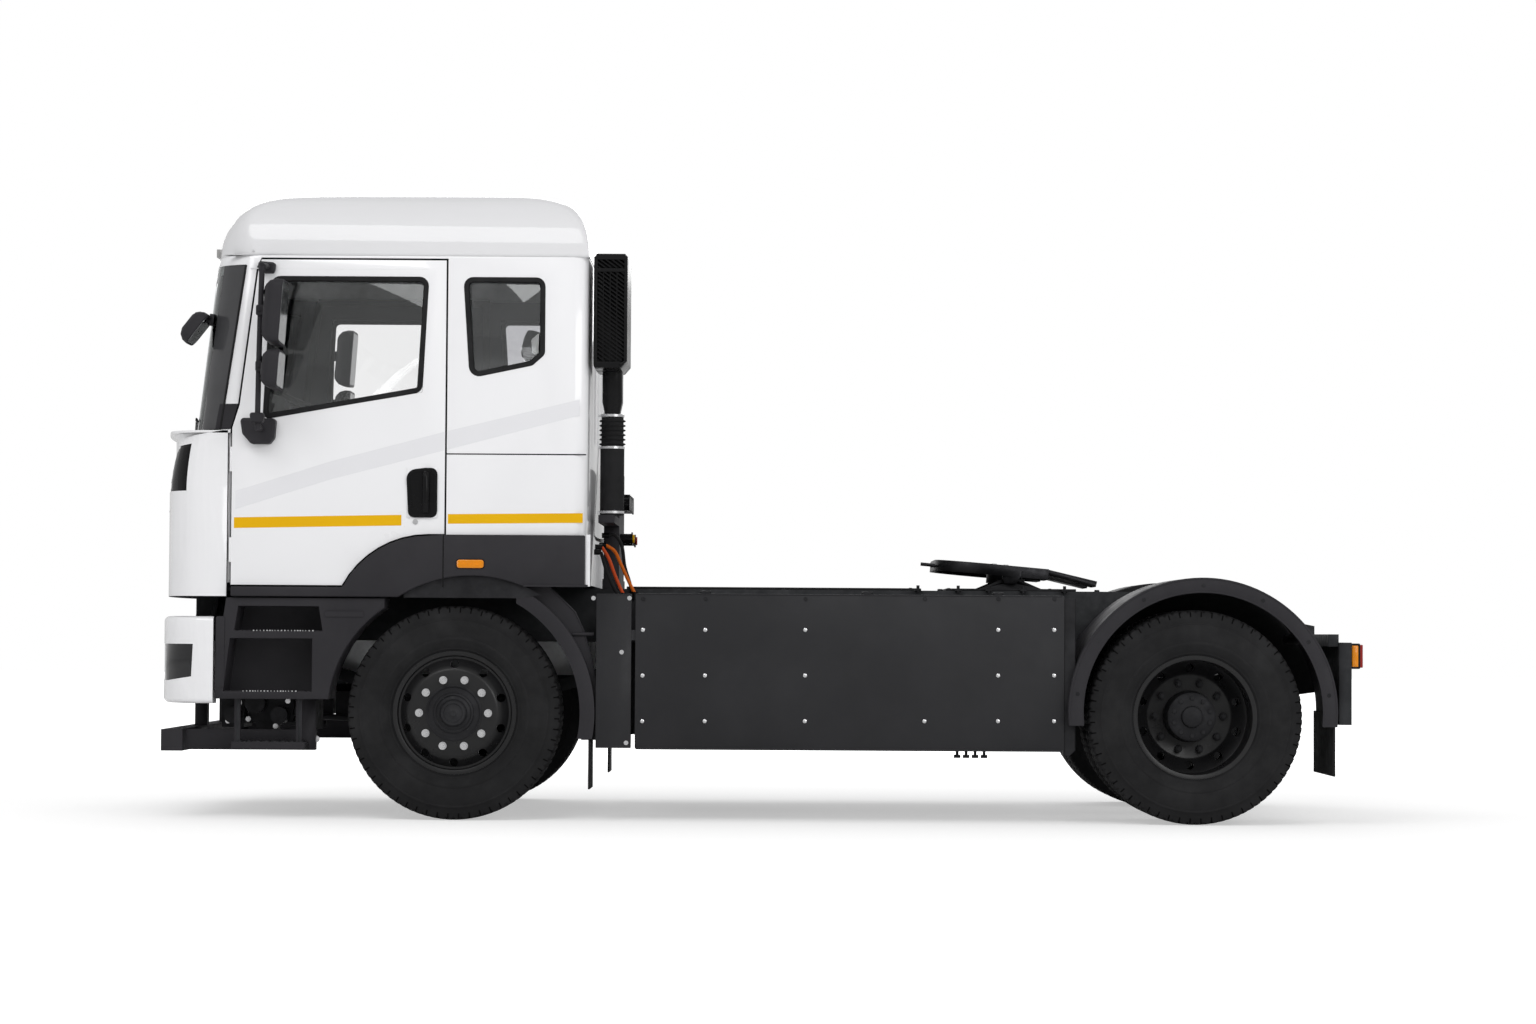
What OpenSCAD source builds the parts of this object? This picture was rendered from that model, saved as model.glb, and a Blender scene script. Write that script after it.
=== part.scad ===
// A two-axle cab-over tractor unit, battery electric, with a high roof, a fifth wheel and twin rear wheels.
// +X is forward, +Y is the left side, +Z is up. The origin is on the ground under the middle of its length.

/* [Overall] */
// Distance from the front axle to the rear axle
wheelbase = 3600; // [3400:10:4200]
// From the front axle to the foremost point of the bumper
front_overhang = 1540; // [1500:5:1650]
// From the rear axle to the back of the tail lamps
rear_overhang = 820; // [800:5:1000]
// Width across the cab's side panels
cab_w = 2400; // [2300:10:2500]

/* [Wheels] */
// Outer diameter of a tyre
tyre_d = 1044; // [980:2:1060]
// Width of a tyre at its sidewalls
tyre_w = 295; // [260:5:315]
// Width of a tyre's tread
tread_w = 236; // [200:2:250]
// Diameter of a rim at its bead seat
rim_d = 571; // [560:1:590]
// Width of a rim between its flanges
rim_w = 229; // [200:1:240]
// Height of a rim's flange above its bead seat
rim_flange = 15; // [8:1:20]
// Thickness of a rim's barrel
rim_t = 10; // [6:1:16]
// Distance between the middles of the front wheels
front_track = 2060; // [2000:10:2080]
// Distance between the middles of the twin wheels
rear_track = 1850; // [1780:10:1880]
// Distance between the middles of two twin tyres
twin_spacing = 325; // [315:1:360]
// Pitch circle of the wheel nuts
nut_pcd = 335; // [300:1:345]
// Number of wheel nuts on one hub
nut_count = 10; // [8:1:10]
// Width across the flats of a wheel nut
nut_size = 33; // [27:1:36]
// Diameter of a brake drum
drum_d = 420; // [380:2:440]
// Distance from a king pin to the middle of its wheel
pin_offset = 180; // [165:1:185]

/* [Cab] */
// From the front axle back to the cab's rear wall
cab_behind = 641; // [600:1:700]
// From the front axle forward to the door's rear edge
door_back = 53; // [30:1:80]
// From the front axle forward to the door's front edge
door_front = 1089; // [1060:1:1110]
// Height of the door's lower edge
door_z = 1139; // [1130:1:1160]
// Height of the seam between the cab and its roof
seam_z = 2745; // [2735:5:2760]
// Height of the roof above the seam, at its front
roof_h = 318; // [280:2:380]
// How much higher the roof is at its back
roof_rise = 34; // [0:1:50]
// How far the roof's front slopes back
roof_front_run = 500; // [400:5:560]
// How far the roof's back slopes forward
roof_rear_run = 330; // [250:5:380]
// How far the roof's sides slope in
roof_side_run = 300; // [220:5:360]
// Thickness of the roof
roof_t = 40; // [25:1:60]
// Radius of the cab's front, seen from above
nose_r = 5000; // [4000:50:8000]
// Radius of the cab's front corners
corner_r = 220; // [180:5:260]
// Radius of the cab's rear corners
rear_corner_r = 70; // [60:5:120]
// Thickness of the doors and side panels
wall_t = 60; // [45:1:70]
// Thickness of the front panel
panel_t = 30; // [20:1:36]
// Height of the underside of the cab's floor
floor_z = 1150; // [1150:1:1180]
// Number of slots in the dark band under the windscreen, one over the other
grille_slots = 4; // [3:1:6]
// Width of the bars between those slots
grille_bar = 16; // [10:1:24]
// Distance between the upright bars of that band
grille_pitch = 330; // [280:10:340]
// Thickness of the cab's floor
floor_t = 70; // [50:1:90]
// Gap round the doors
door_gap = 9; // [6:1:14]
// Diameter of a door's hinge barrels
door_hinge_d = 12; // [8:1:14]
// Height of the windscreen's lower edge
screen_z0 = 1890; // [1860:1:1920]
// Height of the windscreen's upper edge
screen_z1 = 2700; // [2660:1:2710]
// How far the windscreen's lower edge is set back from the bumper
screen_setback = 150; // [130:1:180]
// Backward lean of the windscreen, in degrees
screen_rake = 6.7; // [5:0.1:8]
// Thickness of the windscreen
screen_t = 12; // [8:1:16]
// Thickness of the side windows
glass_t = 6; // [5:1:10]
// How far the front panel is set back from the bumper
panel_setback = 18; // [10:1:30]
// Height of the front panel's lower edge
panel_z0 = 1083; // [1075:1:1100]
// Height of the lower edge of the dark band under the windscreen
band_z0 = 1596; // [1560:1:1620]
// Height of the dark trim over the front wheel
trim_z1 = 1388; // [1360:1:1410]
// Height of the trim's lower edge
trim_z0 = 1137; // [1125:1:1150]
// How far the trim stands out from the cab's side
trim_out = 22; // [10:1:30]

/* [Windows] */
// From the front axle forward to the door window's front lower corner
window_front = 938; // [900:1:960]
// From the front axle forward to the door window's rear lower corner
window_back = 165; // [140:1:200]
// Height of the door window's upper edge
window_z1 = 2642; // [2600:1:2650]
// Height of the door window's front lower corner
window_z0 = 1948; // [1930:1:1990]
// Rise of the door window's lower edge from front to back
window_rise = 131; // [80:1:160]
// From the front axle back to the quarter window's front edge
quarter_front = 32; // [20:1:50]
// From the front axle back to the quarter window's rear edge
quarter_back = 430; // [380:1:460]
// Height of the quarter window's front lower corner
quarter_z0 = 2153; // [2120:1:2200]
// Rise of the quarter window's lower edge from front to back
quarter_rise = 123; // [80:1:150]

/* [Chassis] */
// Width across the frame rails
frame_w = 860; // [820:5:900]
// Height of the top of the frame
frame_z = 1140; // [1125:1:1145]
// Depth of a frame rail
rail_h = 270; // [240:5:300]
// Width of a rail's flanges
rail_flange = 80; // [70:1:90]
// Thickness of a rail
rail_t = 9; // [7:1:12]
// Clearance between the power unit and the rails' flanges
unit_gap = 40; // [20:1:60]
// From the front axle forward to the end of the rails
rail_ahead = 1380; // [1370:1:1400]
// Height of the rail's top at its rear end
tail_z = 972; // [950:1:1000]
// Angle of the sloping rail ends, in degrees
tail_slope = 11; // [9:0.5:14]
// From the front axle forward to the cab's tilting hinge
tilt_ahead = 1330; // [1310:1:1340]
// Height of the cab's tilting hinge
tilt_z = 900; // [890:1:910]
// Diameter of the tilting hinge's pins
tilt_pin_d = 50; // [40:1:60]
// Clearance of a pin in its bore
pin_gap = 0.1; // [0.05:0.01:0.1]
// Width of a leaf spring
spring_w = 90; // [75:5:100]
// Thickness of a front spring pack
front_spring_t = 60; // [40:5:80]
// Thickness of a rear spring pack
rear_spring_t = 110; // [80:5:130]
// Length of a front spring
front_spring_l = 1500; // [1400:10:1600]
// Length of a rear spring
rear_spring_l = 1300; // [1200:10:1400]
// Diameter of the rear axle's tubes
axle_tube_d = 140; // [120:2:160]
// Diameter of the rear axle's final drive
drive_d = 430; // [380:5:460]
// Diameter of a wheel spindle
spindle_d = 90; // [80:1:100]
// Diameter of the propeller shaft
shaft_d = 110; // [90:2:130]
// Length of the traction motor
motor_l = 800; // [700:10:900]
// Width and height of the traction motor
motor_w = 520; // [460:5:560]

/* [Battery and covers] */
// From the front axle back to the main side cover
cover_front = 880; // [860:1:920]
// From the rear axle forward to the side covers' rear ends
cover_rear = 636; // [630:2:700]
// Height of the side covers' lower edge
cover_z0 = 357; // [330:1:400]
// Height of the side covers' upper edge
cover_z1 = 1105; // [1080:1:1120]
// Thickness of the covers' sheet
cover_t = 5; // [3:1:8]
// Width of the covers' folded edges
cover_fold = 60; // [40:5:80]
// Length of the narrow cover behind the front wheel
narrow_l = 170; // [140:2:190]
// Gap between the two covers
cover_gap = 20; // [10:1:30]
// Clearance between a battery pack and its cover
pack_gap = 12; // [8:1:30]

/* [Fifth wheel] */
// From the rear axle forward to the coupling's pivot
lead = 842; // [760:2:900]
// Height of the coupling's top over its pivot
plate_rise = 64; // [60:1:80]
// Height of the pivot's axis
pivot_z = 1205; // [1202:1:1210]
// Length of the coupling plate ahead of the pivot
plate_ahead = 385; // [360:5:420]
// Length of the coupling plate behind the pivot, to its ramps
plate_behind = 190; // [170:5:220]
// Length of the coupling's rear ramps
ramp_l = 260; // [220:5:300]
// Thickness of the coupling's rear ramps
ramp_t = 30; // [20:1:36]
// Width of the coupling plate
plate_w = 880; // [840:5:920]
// Thickness of the coupling plate
plate_t = 24; // [18:1:30]
// Depth of the coupling plate's edge
plate_skirt = 55; // [45:1:60]
// Rest tilt of the coupling plate, in degrees
plate_tilt = 4.8; // [3:0.1:6]
// Slope of the rear ramps against the plate, in degrees
ramp_slope = 8.5; // [6:0.5:12]
// Diameter of the king pin that the coupling locks
kingpin_d = 50.8; // [50.8:0.1:51.2]
// Clearance round the king pin
kingpin_gap = 0.2; // [0.1:0.05:0.4]

/* [Fenders] */
// Inner radius of the front fenders' edge
front_fender_ri = 612; // [608:1:630]
// Outer radius of the front fenders
front_fender_ro = 684; // [670:1:686]
// Thickness of the fenders' skin
fender_t = 8; // [5:1:12]
// Outer radius of the rear fenders
rear_fender_ro = 653; // [645:1:680]
// Inner radius of the rear fenders' edge
rear_fender_ri = 582; // [576:1:600]
// How far the rear fenders sit behind the axle
rear_fender_back = 34; // [20:1:40]
// Height of the rear fenders' centre
rear_fender_z = 548; // [530:1:560]
// Height of the lower end of a front fender
front_leg_z = 400; // [380:5:430]
// How far a rear fender's legs reach below its centre
rear_leg_drop = 68; // [40:2:90]
// Thickness of a mud flap
flap_t = 10; // [6:1:14]
// Width across the rear fenders
rear_w = 2490; // [2450:5:2550]
// Width of a rear fender
rear_fender_w = 640; // [630:5:680]

/* [Front end] */
// Height of the bumper's lower edge
bumper_z0 = 562; // [550:1:580]
// Height of the bumper's upper edge
bumper_z1 = 985; // [960:1:990]
// Thickness of the bumper
bumper_t = 30; // [22:1:34]
// From the front axle forward to the bumper's rear edge
bumper_back = 1171; // [1160:1:1190]
// Height of the front under-run beam's lower edge
beam_z0 = 330; // [310:1:350]
// Depth of the front under-run beam
beam_h = 105; // [90:1:120]
// Thickness of the front under-run beam, front to back
beam_t = 105; // [90:1:120]
// Length of the front under-run beam
beam_l = 2340; // [2200:10:2380]
// Diameter of the towing pins' sockets
tow_d = 42; // [36:1:50]
// From the front axle forward to the face of the under-run beam
beam_front = 1424; // [1410:1:1440]
// Width of a step's tread across the cab
step_w = 250; // [200:5:280]
// Thickness of a step's tread
tread_t = 34; // [25:1:40]
// Height of the upper step
step_z2 = 913; // [900:1:930]
// Height of the lower step
step_z1 = 619; // [600:1:640]
// Height of the hanging step
step_z0 = 376; // [350:1:400]
// Height of the top of the step units
step_top = 1076; // [1060:1:1078]

/* [Interior] */
// From the front axle forward to the steering wheel's middle
wheel_x = 998; // [950:1:1010]
// Height of the steering wheel's middle
wheel_z = 2140; // [2100:1:2160]
// Distance of the steering wheel from the cab's middle
wheel_y = 560; // [520:5:600]
// Diameter of the steering wheel
steer_d = 450; // [400:5:480]
// Thickness of the steering wheel's rim
steer_rim = 30; // [24:1:36]
// Diameter of the steering column's shaft
column_d = 30; // [24:1:36]
// Lean of the steering wheel from level, in degrees
steer_lean = 23; // [15:1:35]
// Width of a seat
seat_w = 500; // [450:10:540]
// Height of a seat's cushion
seat_z = 1640; // [1600:5:1700]
// Lean of a seat's back, in degrees
seat_lean = 12; // [5:1:20]

/* [Hidden] */
$fn = 64;

// Places that follow from the sizes above
total_l = front_overhang + wheelbase + rear_overhang;
xf = total_l/2 - front_overhang;
xr = xf - wheelbase;
wheel_r = tyre_d/2;
side_y = cab_w/2;
inner_y = side_y - wall_t;
cover_l = wheelbase - cover_front - cover_rear;
front_y = front_track/2;
pin_y = front_y - pin_offset;
rear_y = rear_track/2;
rim_r = rim_d/2;
face_x = front_overhang - panel_setback;
screen_x = front_overhang - screen_setback;
roof_front = screen_x - (seam_z - screen_z0)*tan(screen_rake);
belt_z = 1902;
slant_z = 2016;
slant_x = door_front - 35;
door_top = seam_z - 20;
door_top_x = door_front - 120;
arch_r = 474;
arch_x = 130;
arch_z = 917;
joint_gap = 0.5;
tyre_sides = 40;
seat_gap = 0.2;
spring_y = frame_w/2 - spring_w/2;
shaft_drop = 90;
beam_z = 480;
beam_top = 560;
steer_arm = 200;
rod_z = 425;
coupling_x = xr + lead;
pedestal_z = frame_z + 12;
lock_z = -26;
rail_end = -wheelbase - rear_overhang + 121;
bumper_reach = front_overhang - nose_r + sqrt(pow(nose_r - bumper_t, 2) - pow(frame_w/2, 2)) - 2*seat_gap;
hang_w = 155;
disc_out = twin_spacing/2 - 6;

// Points on an arc, leaving out some at its start or its end
function arc(cx, cy, r, a0, a1, n, skip = 0, drop = 0) =
  [for (i = [skip:n - drop]) [cx + r*cos(a0 + (a1 - a0)*i/n), cy + r*sin(a0 + (a1 - a0)*i/n)]];
// Points on a quarter of an ellipse
function quarter(cx, cy, rx, ry, a0, a1, n) =
  [for (i = [0:n]) [cx + rx*cos(a0 + (a1 - a0)*i/n), cy + ry*sin(a0 + (a1 - a0)*i/n)]];
// Outline of the cab from above: front is its foremost point and inset its distance inside the skin
function plan(front, inset, back = -cab_behind) =
  let (w = side_y - inset, r = nose_r - inset, c = corner_r - inset,
       rc = max(rear_corner_r - inset, 10), yc = w - c, xn = front - nose_r,
       xc = xn + sqrt(pow(r - c, 2) - yc*yc), a = asin(yc/(r - c)), xb = back + inset + rc)
  concat(arc(xn, 0, r, -a, a, 24), arc(xc, yc, c, a, 90, 8, 1), arc(xb, w - rc, rc, 90, 180, 4),
         arc(xb, rc - w, rc, 180, 270, 4), arc(xc, -yc, c, -90, -a, 8, 0, 1));
// Outline of a door from its side, grown by g
function door_outline(g = 0) = let (r = arch_r - g, a = asin((door_z - g - arch_z)/r)) concat(
  [[door_front + g, door_z - g], [door_front + g, belt_z], [slant_x + g, slant_z],
   [door_top_x + g, door_top - 40], [door_top_x - 14, door_top + g], [door_back - g, door_top + g],
   [door_back - g, arch_z + r]], arc(arch_x, arch_z, r, 90, a, 8));
// Outline of a door's window, shrunk by g
function window_outline(g = 0) =
  [[window_front - g, window_z0 + g], [window_front - 36 - g, window_z1 - g],
   [window_back - 28 + g, window_z1 - g], [window_back + g, window_z0 + window_rise + g]];
// Outline of a quarter window, shrunk by g
function quarter_outline(g = 0) =
  [[-quarter_front - g, window_z1 - g], [-quarter_front - 34 - g, quarter_z0 + g],
   [-quarter_back + 60 + g, quarter_z0 + quarter_rise/2 + g],
   [-quarter_back + g, quarter_z0 + quarter_rise + g], [-quarter_back + g, window_z1 - g]];
// The roof from its side, inside its skin by t
function roof_side(t) = let (h = roof_h - t, z = seam_z - 1) concat(
  quarter(roof_front - roof_front_run, z, roof_front_run - t, h + 1, 0, 90, 10),
  quarter(roof_rear_run - cab_behind, z, roof_rear_run - t, h + roof_rise + 1, 90, 180, 10));
// The roof from its front, inside its skin by t
function roof_across(t) = let (h = roof_h + roof_rise - t, y = side_y - roof_side_run, z = seam_z - 1)
  concat(quarter(y, z, roof_side_run - t, h + 1, 0, 90, 10),
         quarter(-y, z, roof_side_run - t, h + 1, 90, 180, 10));

module at_front() translate([xf, 0, 0]) children();
module at_rear() translate([xr, 0, 0]) children();
module both_sides() {
  children();
  mirror([0, 1, 0]) children();
}
// A plate between two distances to the left, with its outline drawn from the side
module side_plate(y0, y1) translate([0, y1, 0]) rotate([90, 0, 0]) linear_extrude(y1 - y0) children();
// A bar between two distances ahead, with its outline drawn from the front
module along(x0, x1) translate([x0, 0, 0]) rotate([90, 0, 90]) linear_extrude(x1 - x0) children();
module block(x0, x1, y0, y1, z0, z1) translate([x0, y0, z0]) cube([x1 - x0, y1 - y0, z1 - z0]);
// A round bar across the vehicle
module cross_bar(x, z, d, y0, y1) translate([x, y1, z]) rotate([90, 0, 0]) cylinder(d = d, h = y1 - y0);
// A round bar along the vehicle
module long_bar(y, z, d, x0, x1) translate([x0, y, z]) rotate([0, 90, 0]) cylinder(d = d, h = x1 - x0);
// A round bar from one point to another
module link(a, b, d) translate(a)
  rotate([0, acos((b.z - a.z)/norm(b - a)), atan2(b.y - a.y, b.x - a.x)]) cylinder(d = d, h = norm(b - a));
// A wheel's own axis turned to point outward, at its middle
module on_axle(y) translate([0, y, wheel_r]) rotate([y > 0 ? -90 : 90, 0, 0]) children();

// The upright part of the cab's form
module cab_lower(inset, z0, z1, front = face_x)
  translate([0, 0, z0]) linear_extrude(z1 - z0) polygon(plan(front, inset));
// The leaning part of the cab's form, over the windscreen's foot
module cab_upper(inset, z0, z1) intersection() {
  cab_lower(inset, z0, z1);
  translate([screen_x, 0, screen_z0]) rotate([0, -screen_rake, 0]) translate([-screen_x, 0, -300])
    linear_extrude(1700) polygon(plan(screen_x, inset, -cab_behind - 900));
}
// The region of the windscreen, seen from the side, shrunk by g
module screen_zone(g) {
  lean = (screen_z1 - screen_z0)*tan(screen_rake + 1.6);
  side_plate(-side_y, side_y) polygon([[1150 + g, screen_z0 + g], [2000, screen_z0 + g],
    [2000, screen_z1 - g], [1150 - lean + g, screen_z1 - g]]);
}

// Chassis
module rail() {
  slope_l = (frame_z - tail_z)/tan(tail_slope);
  tail_x = rail_end;
  outline = [[rail_ahead, frame_z - 40], [rail_ahead - 60, frame_z], [tail_x + slope_l, frame_z],
    [tail_x, tail_z], [tail_x, frame_z - rail_h], [rail_ahead, frame_z - rail_h]];
  difference() {
    side_plate(frame_w/2 - rail_flange, frame_w/2) polygon(outline);
    side_plate(frame_w/2 - rail_flange - 1, frame_w/2 - rail_t) polygon([
      [rail_ahead + 1, frame_z - 40 - rail_t], [rail_ahead - 60, frame_z - rail_t],
      [tail_x + slope_l, frame_z - rail_t], [tail_x - 1, tail_z - rail_t],
      [tail_x - 1, frame_z - rail_h + rail_t], [rail_ahead + 1, frame_z - rail_h + rail_t]]);
  }
}
cross_x = [1250, -850, -1900, -3050];
module cross_member(x, z0, z1) difference() {
  block(x - 60, x + 60, rail_t - frame_w/2, frame_w/2 - rail_t, z0, z1);
  for (s = [-1, 1])
    translate([x + s*32, 0, 0]) block(-26, 26, 60 - frame_w/2, frame_w/2 - 60, z0 - 1, z1 - 12);
}
module frame() color("dimgray") at_front() {
  both_sides() rail();
  for (x = cross_x) cross_member(x, frame_z - rail_h + 30, frame_z - 80);
  cross_member(rail_end + 120, frame_z - rail_h + rail_t, tail_z - rail_t);
  both_sides() {
    // Hangers of the springs
    for (x = [front_spring_l/2, -front_spring_l/2])
      block(x - 40, x + 40, spring_y - 50, frame_w/2, 640, frame_z - rail_h + rail_t);
    for (x = [rear_spring_l/2, -rear_spring_l/2]) translate([x - wheelbase, 0, 0])
      block(-40, 40, spring_y - 50, frame_w/2, 700, frame_z - rail_h + rail_t);
    // Brackets of the bumper and of the tail lamps
    block(rail_ahead - 40, bumper_reach, frame_w/2 - 60, frame_w/2, frame_z - rail_h + 20, bumper_z1 - 30);
    block(rail_end, rail_end + 51, frame_w/2 - rail_flange, rear_w/2 - 60, frame_z - rail_h, frame_z - rail_h + 60);
    block(rail_end - 60, rail_end + 1, 560, rear_w/2 - 40, frame_z - rail_h - 380, frame_z - rail_h + 20);
  }
}
module cab_mounts() color("gray") at_front() {
  both_sides() {
    // Front fork and its pin
    for (y = [frame_w/2, frame_w/2 + 86]) side_plate(y, y + 24) difference() {
      polygon(concat(arc(tilt_ahead, tilt_z, 52, -60, 120, 10),
        [[tilt_ahead - 190, frame_z - rail_h + 90], [tilt_ahead - 190, frame_z - rail_h]]));
      translate([tilt_ahead, tilt_z]) circle(d = tilt_pin_d);
    }
    cross_bar(tilt_ahead, tilt_z, tilt_pin_d, frame_w/2, frame_w/2 + 118);
    block(tilt_ahead - 190, tilt_ahead - 150, frame_w/2, frame_w/2 + 110, frame_z - rail_h, frame_z - rail_h + 90);
    // Rear latch on which the cab rests
    block(-590, -450, frame_w/2 - rail_flange, frame_w/2, frame_z, floor_z - joint_gap);
  }
}
module spring(length, width, thick, x, z_axle, z_eye) {
  rise = z_eye - z_axle;
  radius = (length*length/4 + rise*rise)/(2*rise);
  half = asin(length/2/radius);
  translate([x, 0, 0]) both_sides() {
    side_plate(spring_y - width/2, spring_y + width/2) polygon(concat(
      arc(0, z_axle + radius, radius, -90 - half, -90 + half, 12),
      arc(0, z_axle + radius, radius - thick, -90 + half*0.97, -90 - half*0.97, 12)));
  }
}
module front_springs() color("dimgray") at_front()
  spring(front_spring_l - 80 - 3*seat_gap, spring_w, front_spring_t, 0, beam_top, 690);
module rear_springs() color("dimgray") at_rear()
  spring(rear_spring_l - 80 - 3*seat_gap, spring_w, rear_spring_t, 0, wheel_r + axle_tube_d/2, 760);
module front_axle_beam() color("dimgray") at_front() difference() {
  union() {
    along(-45, 45) polygon(concat([[-spring_y - 60, beam_top], [-pin_y, beam_top + 10], [-pin_y, beam_z - 8],
      [-spring_y - 60, beam_z - 20], [-280, beam_z - 110], [280, beam_z - 110], [spring_y + 60, beam_z - 20],
      [pin_y, beam_z - 8], [pin_y, beam_top + 10], [spring_y + 60, beam_top], [spring_y - 60, beam_top],
      [260, beam_top - 70], [-260, beam_top - 70], [-spring_y + 60, beam_top]]));
    both_sides() translate([0, pin_y, beam_z - 8]) cylinder(d = 100, h = beam_top - beam_z + 18);
  }
  both_sides() translate([0, pin_y, beam_z - 20]) cylinder(d = 45 + 2*pin_gap, h = 150);
}
module rear_axle() color("dimgray") at_rear() {
  cross_bar(0, wheel_r, axle_tube_d, -rear_y + 140, rear_y - 140);
  both_sides() cross_bar(0, wheel_r, spindle_d, rear_y - 141, rear_y + 120);
  translate([0, 0, wheel_r]) rotate([90, 0, 0]) cylinder(d = drive_d, h = 260, center = true);
  long_bar(0, wheel_r, 220, 0, 330);
}
module drive_motor() color("silver") at_front()
  block(-980 - motor_l, -980, -motor_w/2, motor_w/2, 560, 1060);
module propeller_shaft() color("dimgray") at_front() {
  // It slopes down from the motor to the final drive, and its ends clear both by their lean
  run = wheelbase - 980 - motor_l - 330;
  slope = atan(shaft_drop/run);
  lean = shaft_d/2*sin(slope) + seat_gap;
  translate([-980 - motor_l, 0, wheel_r + shaft_drop]) rotate([0, -90 - slope, 0])
    translate([0, 0, lean]) cylinder(d = shaft_d, h = norm([run, shaft_drop]) - 2*lean);
}
module power_unit() color("gray") at_front() {
  half = frame_w/2 - rail_flange - unit_gap;
  block(-620, 860, -half, half, 700, 1110);
  for (x = [-500, 650]) block(x, x + 90, rail_t - frame_w/2, frame_w/2 - rail_t, 960, 1000);
}

// Battery packs and their covers
module battery() color("dimgray") at_front() {
  block(-cover_front - cover_l + 20, -cover_front - 20, frame_w/2 + 10,
        side_y - cover_t - pack_gap, cover_z0 + 10, cover_z1 - 20);
  // Feet bolted to the rail's web
  for (x = [-cover_front - cover_l/4, -cover_front - 3*cover_l/4])
    block(x - 80, x + 80, frame_w/2 + seat_gap, frame_w/2 + 11, frame_z - rail_h + 60, frame_z - 60);
}
module battery_left() battery();
module battery_right() mirror([0, 1, 0]) battery();
module side_cover_left() color("#313133") at_front() {
  difference() {
    block(-cover_front - cover_l, -cover_front, side_y - cover_fold, side_y, cover_z0, cover_z1);
    block(-cover_front - cover_l + cover_t, -cover_front - cover_t, side_y - cover_fold - 1,
          side_y - cover_t, cover_z0 + cover_t, cover_z1 - cover_t);
  }
  narrow_x = -cover_front + cover_gap;
  difference() {
    block(narrow_x, narrow_x + narrow_l, side_y - cover_fold, side_y, cover_z0, cover_z1);
    block(narrow_x + cover_t, narrow_x + narrow_l - cover_t, side_y - cover_fold - 1,
          side_y - cover_t, cover_z0 + cover_t, cover_z1 - cover_t);
  }
  // Carriers that hold both covers on the frame
  for (z = [cover_z0 + 60, cover_z1 - 120])
    block(narrow_x + 60, narrow_x + 110, frame_w/2, side_y - cover_t, max(z, frame_z - rail_h + 10), max(z, frame_z - rail_h + 10) + 50);
  block(-cover_front - 19, narrow_x + 6, frame_w/2, side_y - cover_t, frame_z - rail_h + 10, frame_z - rail_h + 60);
}
module side_cover_right() mirror([0, 1, 0]) side_cover_left();

// Front end
module bumper() color("#ebebed") at_front() difference() {
  cab_lower(0, bumper_z0, bumper_z1, front_overhang);
  cab_lower(bumper_t, bumper_z0 + 40, bumper_z1 + 1, front_overhang);
  cab_lower(bumper_t*4, bumper_z0 - 1, bumper_z1 + 1, front_overhang);
  block(-2000, bumper_back, -side_y - 1, side_y + 1, 0, 2000);
  // Cooling slots between the lamps
  for (i = [0:2]) block(1300, 2000, -430, 430, bumper_z0 + 60 + i*56, bumper_z0 + 96 + i*56);
  both_sides() lamp_zone(0);
}
module lamp_zone(g) intersection() {
  side_plate(650, side_y + 5) polygon([[1405 - g, 672 + g], [1277 + g, 692 + g], [1270 + g, 850 - g],
    [1700, 850 - g], [1700, 672 + g]]);
  block(1200, 1700, 700 + g, side_y + 5, 600, 900);
}
module headlamps() color("#d8d8dc") at_front() both_sides() intersection() {
  lamp_zone(0);
  difference() {
    cab_lower(6, bumper_z0, bumper_z1, front_overhang);
    cab_lower(bumper_t, bumper_z0 - 1, bumper_z1 + 1, front_overhang);
  }
}
module underrun_beam() color("#3f3e43") at_front() difference() {
  union() {
    block(beam_front - beam_t, beam_front, -beam_l/2, beam_l/2, beam_z0, beam_z0 + beam_h);
    both_sides() {
      arm_y = side_y - hang_w - 65;
      block(690, beam_front - beam_t + 1, arm_y, arm_y + 60, beam_z0 + 3, beam_z0 + beam_h - 2);
      block(690, 760, arm_y, arm_y + 60, beam_z0 + beam_h - 3, step_z1 - tread_t);
      block(beam_front - beam_t, beam_front - 44, frame_w/2 - 70, frame_w/2, beam_z0 + beam_h - 1,
            frame_z - rail_h);
    }
  }
  // Sockets of the towing pins
  both_sides() translate([0, 500, beam_z0 + beam_h/2]) rotate([0, 90, 0]) cylinder(d = tow_d, h = 3000);
}
// Steps beside the front wheel's arch
module step_unit() color("#3f3e43") at_front() {
  outer = side_y;
  difference() {
    side_plate(outer - step_w, outer) polygon([[1161, step_z1 - tread_t], [1161, 700], [1110, step_top],
      [340, step_top], [340, step_z1 - tread_t]]);
    // Opening for the wheel
    cross_bar(0, wheel_r, 2*front_fender_ri, outer - step_w - 1, outer + 1);
    // Foot wells over the two treads
    side_plate(outer - step_w + 30, outer + 1) polygon([[1070, step_z2], [1050, step_top - 40],
      [660, step_top - 40], [640, step_z2]]);
    side_plate(outer - step_w + 30, outer + 1) polygon([[1120, step_z1], [1090, step_z2 - tread_t],
      [690, step_z2 - tread_t], [690, step_z1]]);
  }
  // Arms to the frame
  for (z = [step_top - 160, step_z1 + 60])
    block(900, 970, frame_w/2, outer - step_w + 5, max(z, frame_z - rail_h), max(z, frame_z - rail_h) + 70);
  // Hanging step
  side_y0 = outer - 40;
  for (x = [740, 1040])
    block(x, x + 30, side_y0 - 20, side_y0, step_z0 - tread_t, step_z1 - tread_t + 1);
  block(721, 1078, outer - hang_w, outer, step_z0 - tread_t, step_z0);
  // Grip ribs across the treads
  for (x = [735:42:1050]) {
    block(x, x + 14, outer - hang_w + 8, outer - 6, step_z0 - 1, step_z0 + 6);
    block(x, x + 14, outer - step_w + 45, outer - 6, step_z1 - 1, step_z1 + 6);
    block(x, x + 14, outer - step_w + 45, outer - 6, step_z2 - 1, step_z2 + 6);
  }
}
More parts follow.
